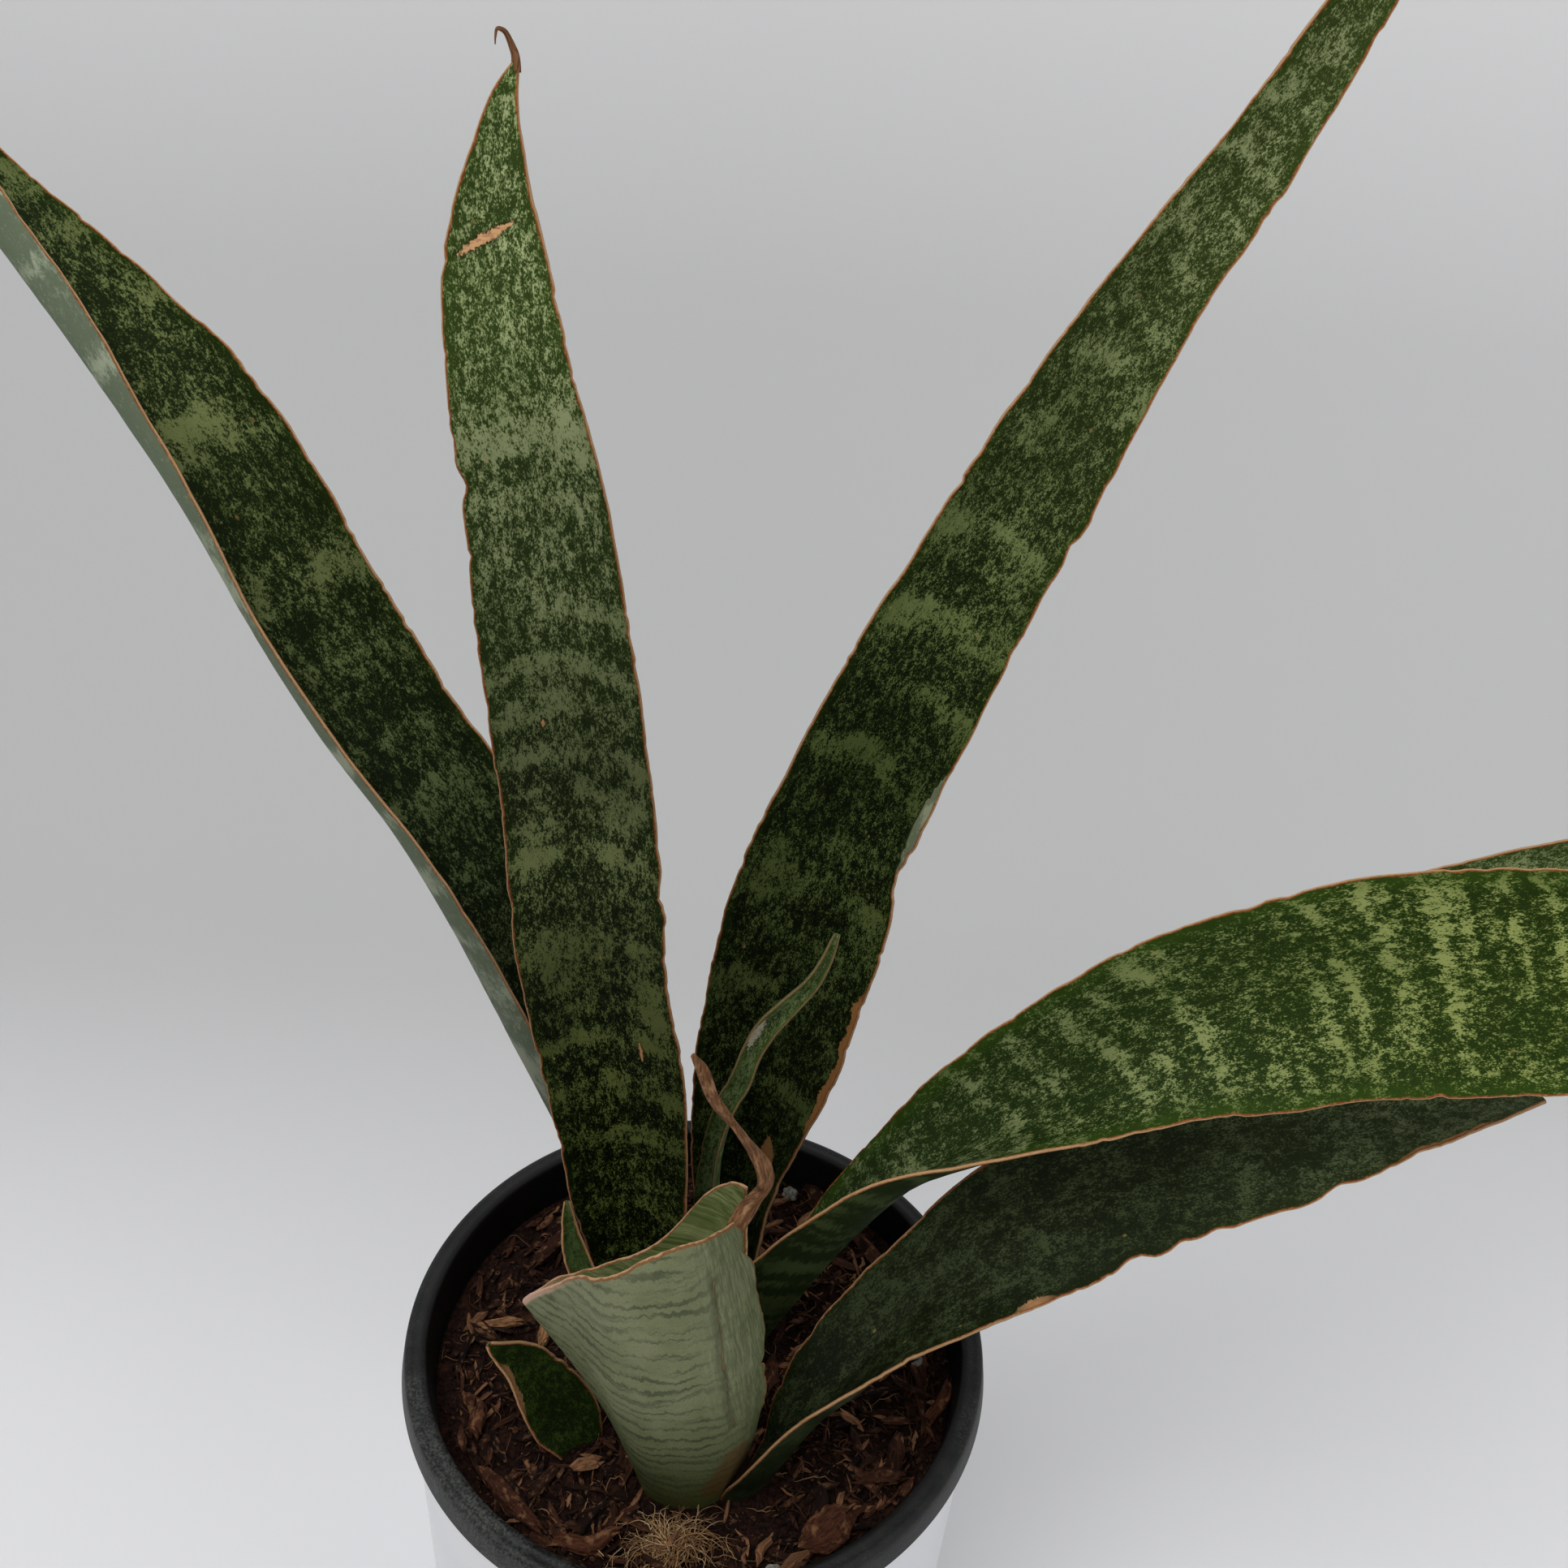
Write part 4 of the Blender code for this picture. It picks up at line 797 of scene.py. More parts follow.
def tube_arrays(path, sides=8, squash=1.0, twist=0.0, rib=0.0, ribs=3, step=None, wobble=0.0, seed=0):
    """Points and faces of a closed tube along x, y, z, radius points."""
    path = np.asarray(path, float)
    if step:
        path = catmull(path, step)
    pts, radii = path[:, :3], path[:, 3]
    along = np.gradient(pts, axis=0)
    along /= np.maximum(np.linalg.norm(along, axis=1), 1e-9)[:, None]
    u = np.cross(along[0], [0.31, 0.87, 0.38])
    u /= np.linalg.norm(u)
    at = np.concatenate([[0], np.cumsum(np.linalg.norm(np.diff(pts, axis=0), axis=1))])
    verts, angles, lengths = [], [], []
    ang = np.arange(sides) * 2 * math.pi / sides
    for i in range(len(pts)):
        u = u - along[i] * (u @ along[i])
        u /= np.linalg.norm(u)
        v = np.cross(along[i], u)
        turn = twist * at[i] / at[-1]
        r = radii[i] * (1 + rib * np.sin(ribs * ang + 1.7))
        if wobble:
            r = r * (1 + wobble * vnoise(np.stack([np.cos(ang) * 1.3 + 5, np.sin(ang) * 1.3, np.full(sides, at[i] / max(radii.max() * 1.6, 0.5))], 1), seed))
        lx, ly = np.cos(ang) * r, np.sin(ang) * r * squash
        cu, su = math.cos(turn), math.sin(turn)
        verts.append(pts[i] + np.outer(lx * cu - ly * su, u) + np.outer(lx * su + ly * cu, v))
        angles.append(ang * radii[i])
        lengths.append(np.full(sides, at[i]))
    n = len(pts)
    idx = np.arange(n * sides).reshape(n, sides)
    nxt = np.roll(idx, -1, axis=1)
    quads = np.stack([idx[:-1], nxt[:-1], nxt[1:], idx[1:]], -1).reshape(-1, 4).tolist()
    return np.concatenate(verts), quads + [idx[0][::-1].tolist(), idx[-1].tolist()], np.concatenate(angles), np.concatenate(lengths)


def catmull(rows, step):
    rows = np.asarray(rows, float)
    size = np.maximum(np.linalg.norm(np.diff(rows[:, :3], axis=0), axis=1), 1e-6)
    at = np.concatenate([[0], np.cumsum(size)])
    slope = np.gradient(rows, at, axis=0)
    out = []
    for i in range(len(rows) - 1):
        h = at[i + 1] - at[i]
        n = max(1, int(math.ceil(h / step)))
        for k in range(n):
            t = k / n
            out.append((2 * t**3 - 3 * t**2 + 1) * rows[i] + (t**3 - 2 * t**2 + t) * h * slope[i]
                       + (-2 * t**3 + 3 * t**2) * rows[i + 1] + (t**3 - t**2) * h * slope[i + 1])
    out.append(rows[-1])
    out = np.array(out)
    if out.shape[1] > 3:
        out[:, 3] = np.maximum(out[:, 3], 0.05)
    return out


class Pile:
    """Many small bodies gathered into one mesh."""

    def __init__(self):
        self.verts, self.faces, self.attrs, self.count = [], [], {}, 0

    def put(self, verts, faces, **attrs):
        self.verts.append(np.asarray(verts, float))
        base = self.count
        self.faces += [[base + i for i in f] for f in faces]
        for key, value in attrs.items():
            self.attrs.setdefault(key, []).append(np.broadcast_to(np.asarray(value, float), (len(verts),)))
        self.count += len(verts)

    def make(self, name, material, slot, *nodes, smooth=False):
        attrs = {k: np.concatenate(v) for k, v in self.attrs.items()}
        obj = add_mesh(name, np.concatenate(self.verts), self.faces, attrs, material, smooth=smooth)
        return finish_piece(obj, slot, *nodes)


def chip_arrays(length, width, height, seed, rings=6, sides=8, rough=0.16, jag=0.5):
    """A splinter of bark along +X, lying on z = 0: faceted, with torn ends and lengthwise ribs."""
    rng = np.random.default_rng(seed)
    t = np.linspace(-0.5, 0.5, rings)
    taper = 0.42 + 0.58 * np.clip(1 - (np.abs(t) * 2) ** (2.2 + rng.random()), 0, 1) ** 0.7
    bend = rng.normal(0, 0.10) * (t ** 2 - 0.1) * length
    sway = rng.normal(0, 0.05) * np.sin(t * 5 + rng.random() * 6) * length
    ang = (np.arange(sides) + 0.5) * 2 * math.pi / sides
    shape = (np.abs(np.cos(ang)) ** 3 + np.abs(np.sin(ang)) ** 3) ** (-1 / 3)
    ribs = 1 + rough * rng.normal(0, 1, sides)
    verts, u, l = [], [], []
    for k in range(rings):
        j = 1 + 0.5 * rough * rng.normal(0, 1, sides)
        y = 0.5 * width * taper[k] * np.cos(ang) * shape * ribs * j
        z = 0.5 * height * taper[k] * np.sin(ang) * shape * (0.6 + 0.4 * ribs) * j
        x = np.full(sides, t[k] * length)
        if k in (0, rings - 1):
            x = x + rng.normal(0, 1, sides) * jag * min(1.2, 0.12 * length)
        verts.append(np.stack([x, y + sway[k], z + 0.5 * height + bend[k]], 1))
        u.append(ang * width / 3)
        l.append(x)
    idx = np.arange(rings * sides).reshape(rings, sides)
    nxt = np.roll(idx, -1, axis=1)
    quads = np.stack([idx[:-1], nxt[:-1], nxt[1:], idx[1:]], -1).reshape(-1, 4).tolist()
    quads += [idx[0][::-1].tolist(), idx[-1].tolist()]
    return np.concatenate(verts), quads, np.concatenate(u), np.concatenate(l)


def turn(points, heading, tilt, roll, at):
    ch, sh, ct, st, cr, sr = (f(a) for a in (heading, tilt, roll) for f in (math.cos, math.sin))
    rx = np.array([[1, 0, 0], [0, cr, -sr], [0, sr, cr]])
    ry = np.array([[ct, 0, -st], [0, 1, 0], [st, 0, ct]])
    rz = np.array([[ch, -sh, 0], [sh, ch, 0], [0, 0, 1]])
    return points @ (rz @ ry @ rx).T + np.asarray(at, float)


def ball_arrays(size, seed, level=2, rough=0.14):
    import bmesh
    bm = bmesh.new()
    bmesh.ops.create_icosphere(bm, subdivisions=level, radius=1.0)
    v = np.array([p.co[:] for p in bm.verts])
    f = [[p.index for p in face.verts] for face in bm.faces]
    bm.free()
    v = v * (1 + rough * fbm(v * 1.7 + seed * 3.1, seed, 2))[:, None]
    return v * np.asarray(size, float), f


# ------------------------------------------------------------------ the rolled front leaf
FUNNEL_BASE = (1.0, -37.5, 119.0, 7.5, 4.0)
FUNNEL_NECK = (0.5, -38.5, 134.0, 10.8, 6.0)
FUNNEL_VEINS = [
    (-12, 9, -26.5, 216.5, 10.5),
    (-45, 2.5, -40, 224.5, 7.5),
    (-80, -7, -46, 225, 6),
    (-110, -18, -47, 219, 5),
    (-140, -29, -41, 209, 1.0),
    (-172, -40, -31, 189, -3.2),
    (-210, -33, -22, 186.5, -2.6),
    (-242, -20, -17, 188, 2),
    (-272, -8, -15, 196, 3),
    (-300, 3.5, -14.5, 214, 3),
    (-325, 11.5, -18, 218, 2.5),
]
FUNNEL_TIP = [
    (8.8, -26.5, 213, 2.2), (12, -21.5, 216.5, 3.1), (15, -20, 220.5, 3.1), (15, -21.5, 226.5, 2.9),
    (11.5, -23, 236, 2.4), (6.5, -25, 246.5, 1.9), (2.5, -27, 255, 1.5), (-0.3, -29, 265, 1.2), (-2, -31, 270.5, 0.5),
]


def funnel_points(u, t):
    """Points of the rolled sheet for vein numbers u (rows, columns) and heights t (rows,)."""
    veins = np.array(FUNNEL_VEINS, float)
    slope = np.gradient(veins, axis=0)
    i = np.clip(u.astype(int), 0, len(veins) - 2)
    f = (u - i)[..., None]
    w = ((2 * f**3 - 3 * f**2 + 1) * veins[i] + (f**3 - 2 * f**2 + f) * slope[i]
         + (-2 * f**3 + 3 * f**2) * veins[i + 1] + (f**3 - f**2) * slope[i + 1])
    a = np.radians(w[..., 0])
    ca, sa = np.cos(a), np.sin(a)
    bx, by, bz, ba, bb = FUNNEL_BASE
    nx, ny, nz, na, nb = FUNNEL_NECK
    p0 = np.stack([bx + ba * ca, by + bb * sa, np.full_like(ca, bz)], -1)
    p1 = np.stack([nx + na * ca, ny + nb * sa, np.full_like(ca, nz)], -1)
    p2 = w[..., 1:4]
    out = np.stack([ca, sa, np.zeros_like(ca)], -1)
    s = t[:, None, None]
    k = np.clip((s - 0.15) / 0.85, 0, 1)
    high = p1 + (p2 - p1) * k + out * (w[..., 4][..., None] * 4 * k * (1 - k) * 0.9)
    return np.where(s < 0.15, p0 + (p1 - p0) * (s / 0.15), high), out


def funnel_material():
    t = Tree("leaf_rolled")
    a, l, e, back = (t.attr(k) for k in ("across", "along", "edge", "back"))
    rag = t.add(t.mad(t.noise(t.vec(t.mul(a, 0.10), t.mul(l, 0.05), 2.0), 1.0, 3.0, 0.6), 7.0, -3.5),
                t.mad(t.noise(t.vec(t.mul(a, 0.7), t.mul(l, 0.35), 5.0), 1.0, 3.0, 0.65), 3.2, -1.6))
    w = t.add(l, rag)
    sway = t.noise(t.vec(t.mul(a, 0.03), t.mul(w, 0.12), 9.0), 1.0, 2.0, 0.6)
    wave = t.m("SINE", t.add(t.mul(w, 2.0 * math.pi / 3.7), t.mul(sway, 11.5)))
    second = t.noise(t.vec(t.mul(a, 0.07), t.mul(w, 0.8), 11.0), 1.0, 2.0, 0.6)
    line = t.add(t.mad(wave, 0.085, 0.5), t.mad(second, 0.55, -0.275))
    speck = t.noise(t.vec(t.mul(a, 1.7), t.mul(l, 1.7), 13.0), 1.0, 3.0, 0.7)
    streak = t.noise(t.vec(t.mul(a, 1.3), t.mul(l, 0.16), 17.0), 1.0, 4.0, 0.66)
    patch = t.noise(t.vec(t.mul(a, 0.10), t.mul(l, 0.06), 21.0), 1.0, 2.0, 0.5)
    lines = t.step(t.add(line, t.mad(speck, 0.34, -0.17)), 0.49, 0.62)
    right = t.step(t.add(a, t.mad(patch, 10.0, -5.0)), -30.0, -14.0, 1.0, 0.0)
    lines = t.mul(lines, t.mad(right, -0.72, 1.0))
    pale = t.mix(t.step(patch, 0.35, 0.7), srgb("#7b7f5e"), srgb("#6e7451"))
    low_t = t.step(l, 16.0, 76.0, 1.0, 0.0)
    pale = t.mix(t.mul(low_t, 0.80), pale, srgb("#414a26"))
    pale = t.mix(t.mul(right, t.step(streak, 0.40, 0.62, 0.75, 0.0)), pale, srgb("#4b5438"))
    dark = t.mix(low_t, srgb("#474d36"), srgb("#2a321a"))
    outer = t.mix(t.mul(lines, t.step(patch, 0.3, 0.6, 0.55, 0.92)), pale, dark)
    outer = t.mix(t.mul(t.step(speck, 0.55, 0.80), 0.30), outer, srgb("#9aa083"))
    outer = t.mix(t.mul(t.step(speck, 0.28, 0.47, 1.0, 0.0), 0.5), outer, srgb("#3d462c"))
    mid = t.noise(t.vec(t.mul(a, 0.22), t.mul(w, 0.22), 33.0), 1.0, 4.0, 0.7)
    inner = t.mix(t.step(mid, 0.38, 0.62), srgb("#4b5a26"), srgb("#828a58"))
    inner = t.mix(t.mul(t.step(speck, 0.5, 0.75), 0.4), inner, srgb("#a3a878"))
    # painted shade: the inner face is darkened to near black towards the foot, deep inside the roll
    inner = t.mix(t.mul(t.step(l, 30, 75, 1.0, 0.0), 0.8), inner, srgb("#141c08"))
    colour = t.mix(t.step(back, 0.45, 0.55), outer, inner)
    # olive and brown at the foot, the brown crease down the front, and a painted shade line beside the crease
    foot = t.step(t.add(l, t.mad(patch, 14.0, -7.0)), 14.0, 32.0, 1.0, 0.0)
    colour = t.mix(t.mul(foot, 0.7), colour, srgb("#474a1e"))
    blot = t.segment(a, l, (-14.0, 22.0), (-22.5, 36.0), 3.2, 2.4, t.mad(speck, 3.0, -1.5))
    colour = t.mix(t.mul(blot, 0.6), colour, srgb("#5a3a1c"))
    wob = t.mad(t.noise(t.vec(t.mul(l, 0.13), 3.0, 0.0), 1.0, 2.0, 0.5), 2.6, -1.3)
    crease = t.segment(t.add(a, wob), l, (-23.2, 50.0), (-25.1, 95.0), 0.18, 0.22, t.mad(speck, 0.7, -0.35))
    front_only = t.step(back, 0.1, 0.3, 1.0, 0.0)
    crease = t.mul(crease, front_only)
    # painted shade: a darker band along the crease
    shade_line = t.mul(t.segment(t.add(a, wob), l, (-22.8, 50.0), (-24.7, 95.0), 0.9, 0.8, 0.0), front_only)
    colour = t.mix(t.mul(shade_line, 0.4), colour, srgb("#39402a"))
    colour = t.mix(t.mul(crease, t.step(l, 56.0, 84.0, 0.25, 0.8)), colour, srgb("#80603c"))
    # margins: red-brown inside a cream line
    ew = t.noise(t.vec(t.mul(a, 0.35), t.mul(l, 0.35), 41.0), 1.0, 3.0, 0.6)
    colour = t.mix(t.step(t.sub(t.mad(ew, 0.9, -0.05), e), -0.2, 0.15), colour, t.mix(speck, srgb("#5e3a1e"), srgb("#94683f")))
    colour = t.mix(t.step(t.sub(t.mad(ew, 1.0, -0.62), e), -0.15, 0.12), colour, srgb("#b8926c"))
    raw = t.mul(t.attr("raw"), t.step(e, 0.9, 1.9, 1.0, 0.0))
    colour = t.mix(raw, colour, t.mix(speck, srgb("#b8806c"), srgb("#dcc0a8")))
    t.put(t.bsdf.inputs["Base Color"], colour)
    t.put(t.bsdf.inputs["Roughness"], t.mad(speck, 0.25, 0.42))
    t.bsdf.inputs["Specular IOR Level"].default_value = 0.2
    height = t.add(t.mul(streak, 0.8), t.add(t.mul(speck, 0.45), t.mul(crease, -1.2)))
    t.put(t.bsdf.inputs["Normal"], t.bump(height, 0.7, 0.00045))
    return t.mat


def dry_material(name, dark, mid, light, seed=0.0):
    t = Tree(name)
    a, l = t.attr("across"), t.attr("along")
    streak = t.noise(t.vec(t.mul(a, 2.6), t.mul(l, 0.22), seed), 1.0, 4.0, 0.65)
    blot = t.noise(t.vec(t.mul(a, 0.5), t.mul(l, 0.25), seed + 4.0), 1.0, 3.0, 0.6)
    colour = t.mix(t.step(streak, 0.35, 0.65), srgb(dark), srgb(mid))
    colour = t.mix(t.mul(t.step(blot, 0.45, 0.7), 0.8), colour, srgb(light))
    t.put(t.bsdf.inputs["Base Color"], colour)
    t.put(t.bsdf.inputs["Roughness"], t.mad(streak, 0.3, 0.55))
    t.bsdf.inputs["Specular IOR Level"].default_value = 0.2
    t.put(t.bsdf.inputs["Normal"], t.bump(t.add(streak, t.mul(blot, 0.4)), 0.8, 0.0006))
    return t.mat


MAT_DRY = dry_material("dried_leaf_point", "#4a2c18", "#8a5f3c", "#b08660", 3.0)


def make_funnel():
    n_along, n_across = 130, 200
    t = np.linspace(0, 1, n_along) ** 0.9
    c = np.linspace(0, 1, n_across)
    n = fbm(np.stack([t * 11, np.full_like(t, 2.0)], 1), 301, 3)
    bite = np.maximum(0, fbm(np.stack([t * 26, np.full_like(t, 7.0)], 1), 311, 2) - 0.15)
    lo = np.clip(0.05 + 0.07 * n + 0.16 * bite, 0, 0.4) * smoothstep(0.15, 0.3, t)
    lo = lo + 0.16 * np.exp(-((t - 0.93) / 0.018) ** 2) + 0.10 * np.exp(-((t - 0.62) / 0.012) ** 2)
    hi = 10 - np.clip(0.05 + 0.07 * fbm(np.stack([t * 10, np.full_like(t, 5.0)], 1), 305, 3), 0, 0.3) * smoothstep(0.15, 0.3, t)
    u = lo[:, None] + (hi - lo)[:, None] * c[None, :]
    mid, out = funnel_points(u, t)
    uu, tt = u.reshape(-1), np.repeat(t, n_across)
    grow = smoothstep(0.16, 0.5, tt)
    wave = 0.55 * fbm(np.stack([uu * 1.1, tt * 3.1], 1), 321, 2) + 0.16 * fbm(np.stack([uu * 6.0, tt * 4.0], 1), 323, 2)
    ribs = 0.09 * vnoise(np.stack([uu * 7.0, tt * 1.4], 1), 325)
    crease = -0.55 * np.exp(-((uu - 1.05) / 0.035) ** 2) * smoothstep(0.45, 0.6, tt) * (1 - smoothstep(0.9, 0.97, tt))
    flare = 0.9 * np.exp(-(uu / 0.12) ** 2) * vnoise(np.stack([tt * 14, tt * 0], 1), 327)
    mid = mid + out * (grow * (wave + ribs + crease + flare)).reshape(n_along, n_across)[..., None]
    rise = mid[-1] - mid[-4]
    rise /= np.linalg.norm(rise, axis=1)[:, None]
    rim = 0.8 * fbm(np.stack([u[-1] * 2.2, u[-1] * 0], 1), 331, 3)
    mid = mid + rise[None] * (rim[None, :] * smoothstep(0.88, 1.0, t)[:, None])[..., None]
    arc = np.concatenate([np.zeros((n_along, 1)), np.cumsum(np.linalg.norm(np.diff(mid, axis=1), axis=2), 1)], 1)
    zero = np.array([np.interp(3.0, u[k], arc[k]) for k in range(n_along)])
    across = arc - zero[:, None]
    side = np.minimum(arc, arc[:, -1:] - arc)
    size = np.concatenate([[0], np.cumsum(np.linalg.norm(np.diff(mid, axis=0), axis=2).mean(1))])
    top = (size[-1] - size)[:, None] + np.zeros((1, n_across))
    edge = np.minimum(side, top)
    raw = np.exp(-((u - 4.9) / 0.75) ** 2) * smoothstep(0.8, 0.95, t)[:, None]
    thick = 0.9 + 0.9 * np.minimum(1, edge / 7.0)
    attrs = {"across": across, "along": mid[..., 2] - 119.0, "edge": edge, "raw": raw}
    sheet("leaf_front_curled_sheet", mid, thick, out, funnel_material(), attrs, "leaf_pale", ("leaf_front_curled",))
    v, f, a, l = tube_arrays(FUNNEL_TIP, 28, 0.42, 3.9, 0.13, 5, 0.6, 0.12, 41)
    tip = add_mesh("leaf_front_curled_point", v, f, {"across": a, "along": l}, MAT_DRY)
    finish_piece(tip, "leaf_pale", "leaf_front_curled")


make_funnel()

hook = [(-47.9, 49.5, 446.0, 1.0), (-48.1, 49.5, 449.0, 0.75), (-49.0, 49.5, 451.5, 0.55), (-50.2, 49.6, 453.2, 0.45),
        (-51.3, 49.7, 453.4, 0.38), (-51.8, 49.8, 451.9, 0.28), (-51.9, 49.8, 450.6, 0.15)]
v, f, a, l = tube_arrays(hook, 12, 0.7, 1.2, 0.12, 4, 0.3, 0.1, 5)
finish_piece(add_mesh("leaf_centre_tall_point", v, f, {"across": a, "along": l}, MAT_DRY), "leaf", "leaf_centre_tall")


# ------------------------------------------------------------------ potting mix
SOIL_TOP, RIM_TOP = 131.0, 145.0


def nursery_outer(z):
    return 56.0 + (72.4 - 56.0) * (np.maximum(z, 0.0) / 143.0) ** 0.75


def nursery_inner(z):
    return nursery_outer(z) - 1.2


def soil_height(x, y):
    edge = np.maximum(0.0, 1 - (np.hypot(x, y) / 68.0) ** 6)
    return edge * (0.9 * np.sin(x * 0.13 + 1.1) * np.cos(y * 0.11 - 0.4) + 0.6 * np.sin(x * 0.05 - y * 0.17))


def soil_bumps(x, y):
    p = np.stack([x, y], 1)
    edge = np.clip((70.5 - np.hypot(x, y)) / 3.0, 0, 1)
    return edge * (1.5 * fbm(p / 9.0, 401, 2) + 1.1 * fbm(p / 3.2, 403, 3) + 0.5 * np.abs(vnoise(p / 1.4, 405)))


def soil_top(x, y):
    x, y = np.atleast_1d(np.asarray(x, float)), np.atleast_1d(np.asarray(y, float))
    return SOIL_TOP + soil_height(x, y) + soil_bumps(x, y)


def bark_material(name, dark, mid, light, tan=0.12, groove=0.65):
    t = Tree(name)
    a, l, hue = t.attr("across"), t.attr("along"), t.attr("hue")
    z = t.mul(hue, 91.0)
    grain = t.noise(t.vec(t.mul(a, 2.4), t.mul(l, 0.35), z), 1.0, 4.0, 0.68)
    blot = t.noise(t.vec(t.mul(a, 0.7), t.mul(l, 0.4), t.add(z, 7.0)), 1.0, 3.0, 0.6)
    colour = t.mix(t.step(hue, 0.25, 0.85), srgb(dark), srgb(mid))
    colour = t.mix(t.step(hue, 1.0 - tan, 1.0 - 0.3 * tan), colour, srgb(light))
    # painted shade: the grooves of the grain are darkened towards near black by the groove amount
    painted_deep_shade = t.mix(groove, colour, (0.003, 0.0015, 0.001))
    colour = t.mix(t.step(grain, 0.36, 0.62, 1.0, 0.0), colour, painted_deep_shade)
    colour = t.mix(t.mul(t.step(blot, 0.5, 0.72), 0.45), colour, srgb(light))
    t.put(t.bsdf.inputs["Base Color"], colour)
    t.put(t.bsdf.inputs["Roughness"], t.mad(grain, 0.25, 0.68))
    t.bsdf.inputs["Specular IOR Level"].default_value = 0.12
    t.put(t.bsdf.inputs["Normal"], t.bump(grain, 0.9, 0.0007))
    return t.mat


def soil_material():
    t = Tree("potting_mix_ground")
    p = t.coords("Object")
    big = t.noise(p, 160.0, 3.0, 0.6)
    fine = t.noise(p, 900.0, 3.0, 0.7)
    cell = t.voronoi(p, 620.0)
    colour = t.mix(t.step(fine, 0.35, 0.65), srgb("#0e0705"), srgb("#2a1812"))
    colour = t.mix(t.mul(t.step(big, 0.5, 0.7), 0.6), colour, srgb("#40261a"))
    colour = t.mix(t.mul(t.step(cell, 0.0, 0.25, 1.0, 0.0), 0.3), colour, srgb("#4a3226"))
    t.put(t.bsdf.inputs["Base Color"], colour)
    t.bsdf.inputs["Roughness"].default_value = 0.9
    t.bsdf.inputs["Specular IOR Level"].default_value = 0.1
    t.put(t.bsdf.inputs["Normal"], t.bump(t.add(fine, cell), 1.0, 0.0009))
    return t.mat


def make_soil():
    n = 260
    ang = np.linspace(0, 2 * math.pi, n, endpoint=False)
    radii = np.concatenate([np.linspace(1.2, 70.4, 84)])
    levels, zs = [], []
    side = [(nursery_inner(129.8) - 0.6, 129.4), (nursery_inner(127) - 0.55, 127.0), (nursery_inner(90) - 0.55, 90.0),
            (nursery_inner(60) - 0.55, 60.0), (nursery_inner(30) - 0.55, 30.0), (nursery_inner(8.4) - 1.9, 6.4), (2.0, 6.4)]
    verts = []
    for r in radii:
        x, y = r * np.cos(ang), r * np.sin(ang)
        verts.append(np.stack([x, y, soil_top(x, y)], 1))
    for r, z in side:
        w = r + (0.25 * fbm(np.stack([np.cos(ang) * 9, np.sin(ang) * 9, np.full(n, z / 9)], 1), 409, 2) - 0.2 if r > 10 else 0)
        verts.append(np.stack([w * np.cos(ang), w * np.sin(ang), np.full(n, z)], 1))
    m = len(verts)
    idx = np.arange(m * n).reshape(m, n)
    nxt = np.roll(idx, -1, axis=1)
    quads = np.stack([idx[:-1], idx[1:], nxt[1:], nxt[:-1]], -1).reshape(-1, 4).tolist()
    quads += [idx[0].tolist(), idx[-1][::-1].tolist()]
    obj = add_mesh("potting_mix_ground", np.concatenate(verts), quads, None, soil_material())
    finish_piece(obj, "potting_mix", "potting_mix")


BASE_TABLES = [LEAF_CENTRE_TALL, LEAF_LEFT, LEAF_RIGHT_TALL, LEAF_RIGHT_ARCHING, LEAF_RIGHT_LOW, LEAF_RIGHT_REAR,
               LEAF_YOUNG_TWISTED, LEAF_SMALL_LEFT, LEAF_BASAL_SHEATH]


def base_points():
    pts = []
    for table in BASE_TABLES:
        rows, along, spine, tangent, side, up = blade_grid(table, 1.5, None)
        mid = section(spine, side, up, rows[:, 3], rows[:, 4], rows[:, 6], np.linspace(-1, 1, 15)).reshape(-1, 3)
        pts.append(mid[(mid[:, 2] > 126) & (mid[:, 2] < 139)])
    uu = np.tile(np.linspace(0, 10, 60)[None, :], (6, 1))
    f, _ = funnel_points(uu, np.linspace(0.1, 0.22, 6))
    pts.append(f.reshape(-1, 3))
    return np.concatenate(pts)


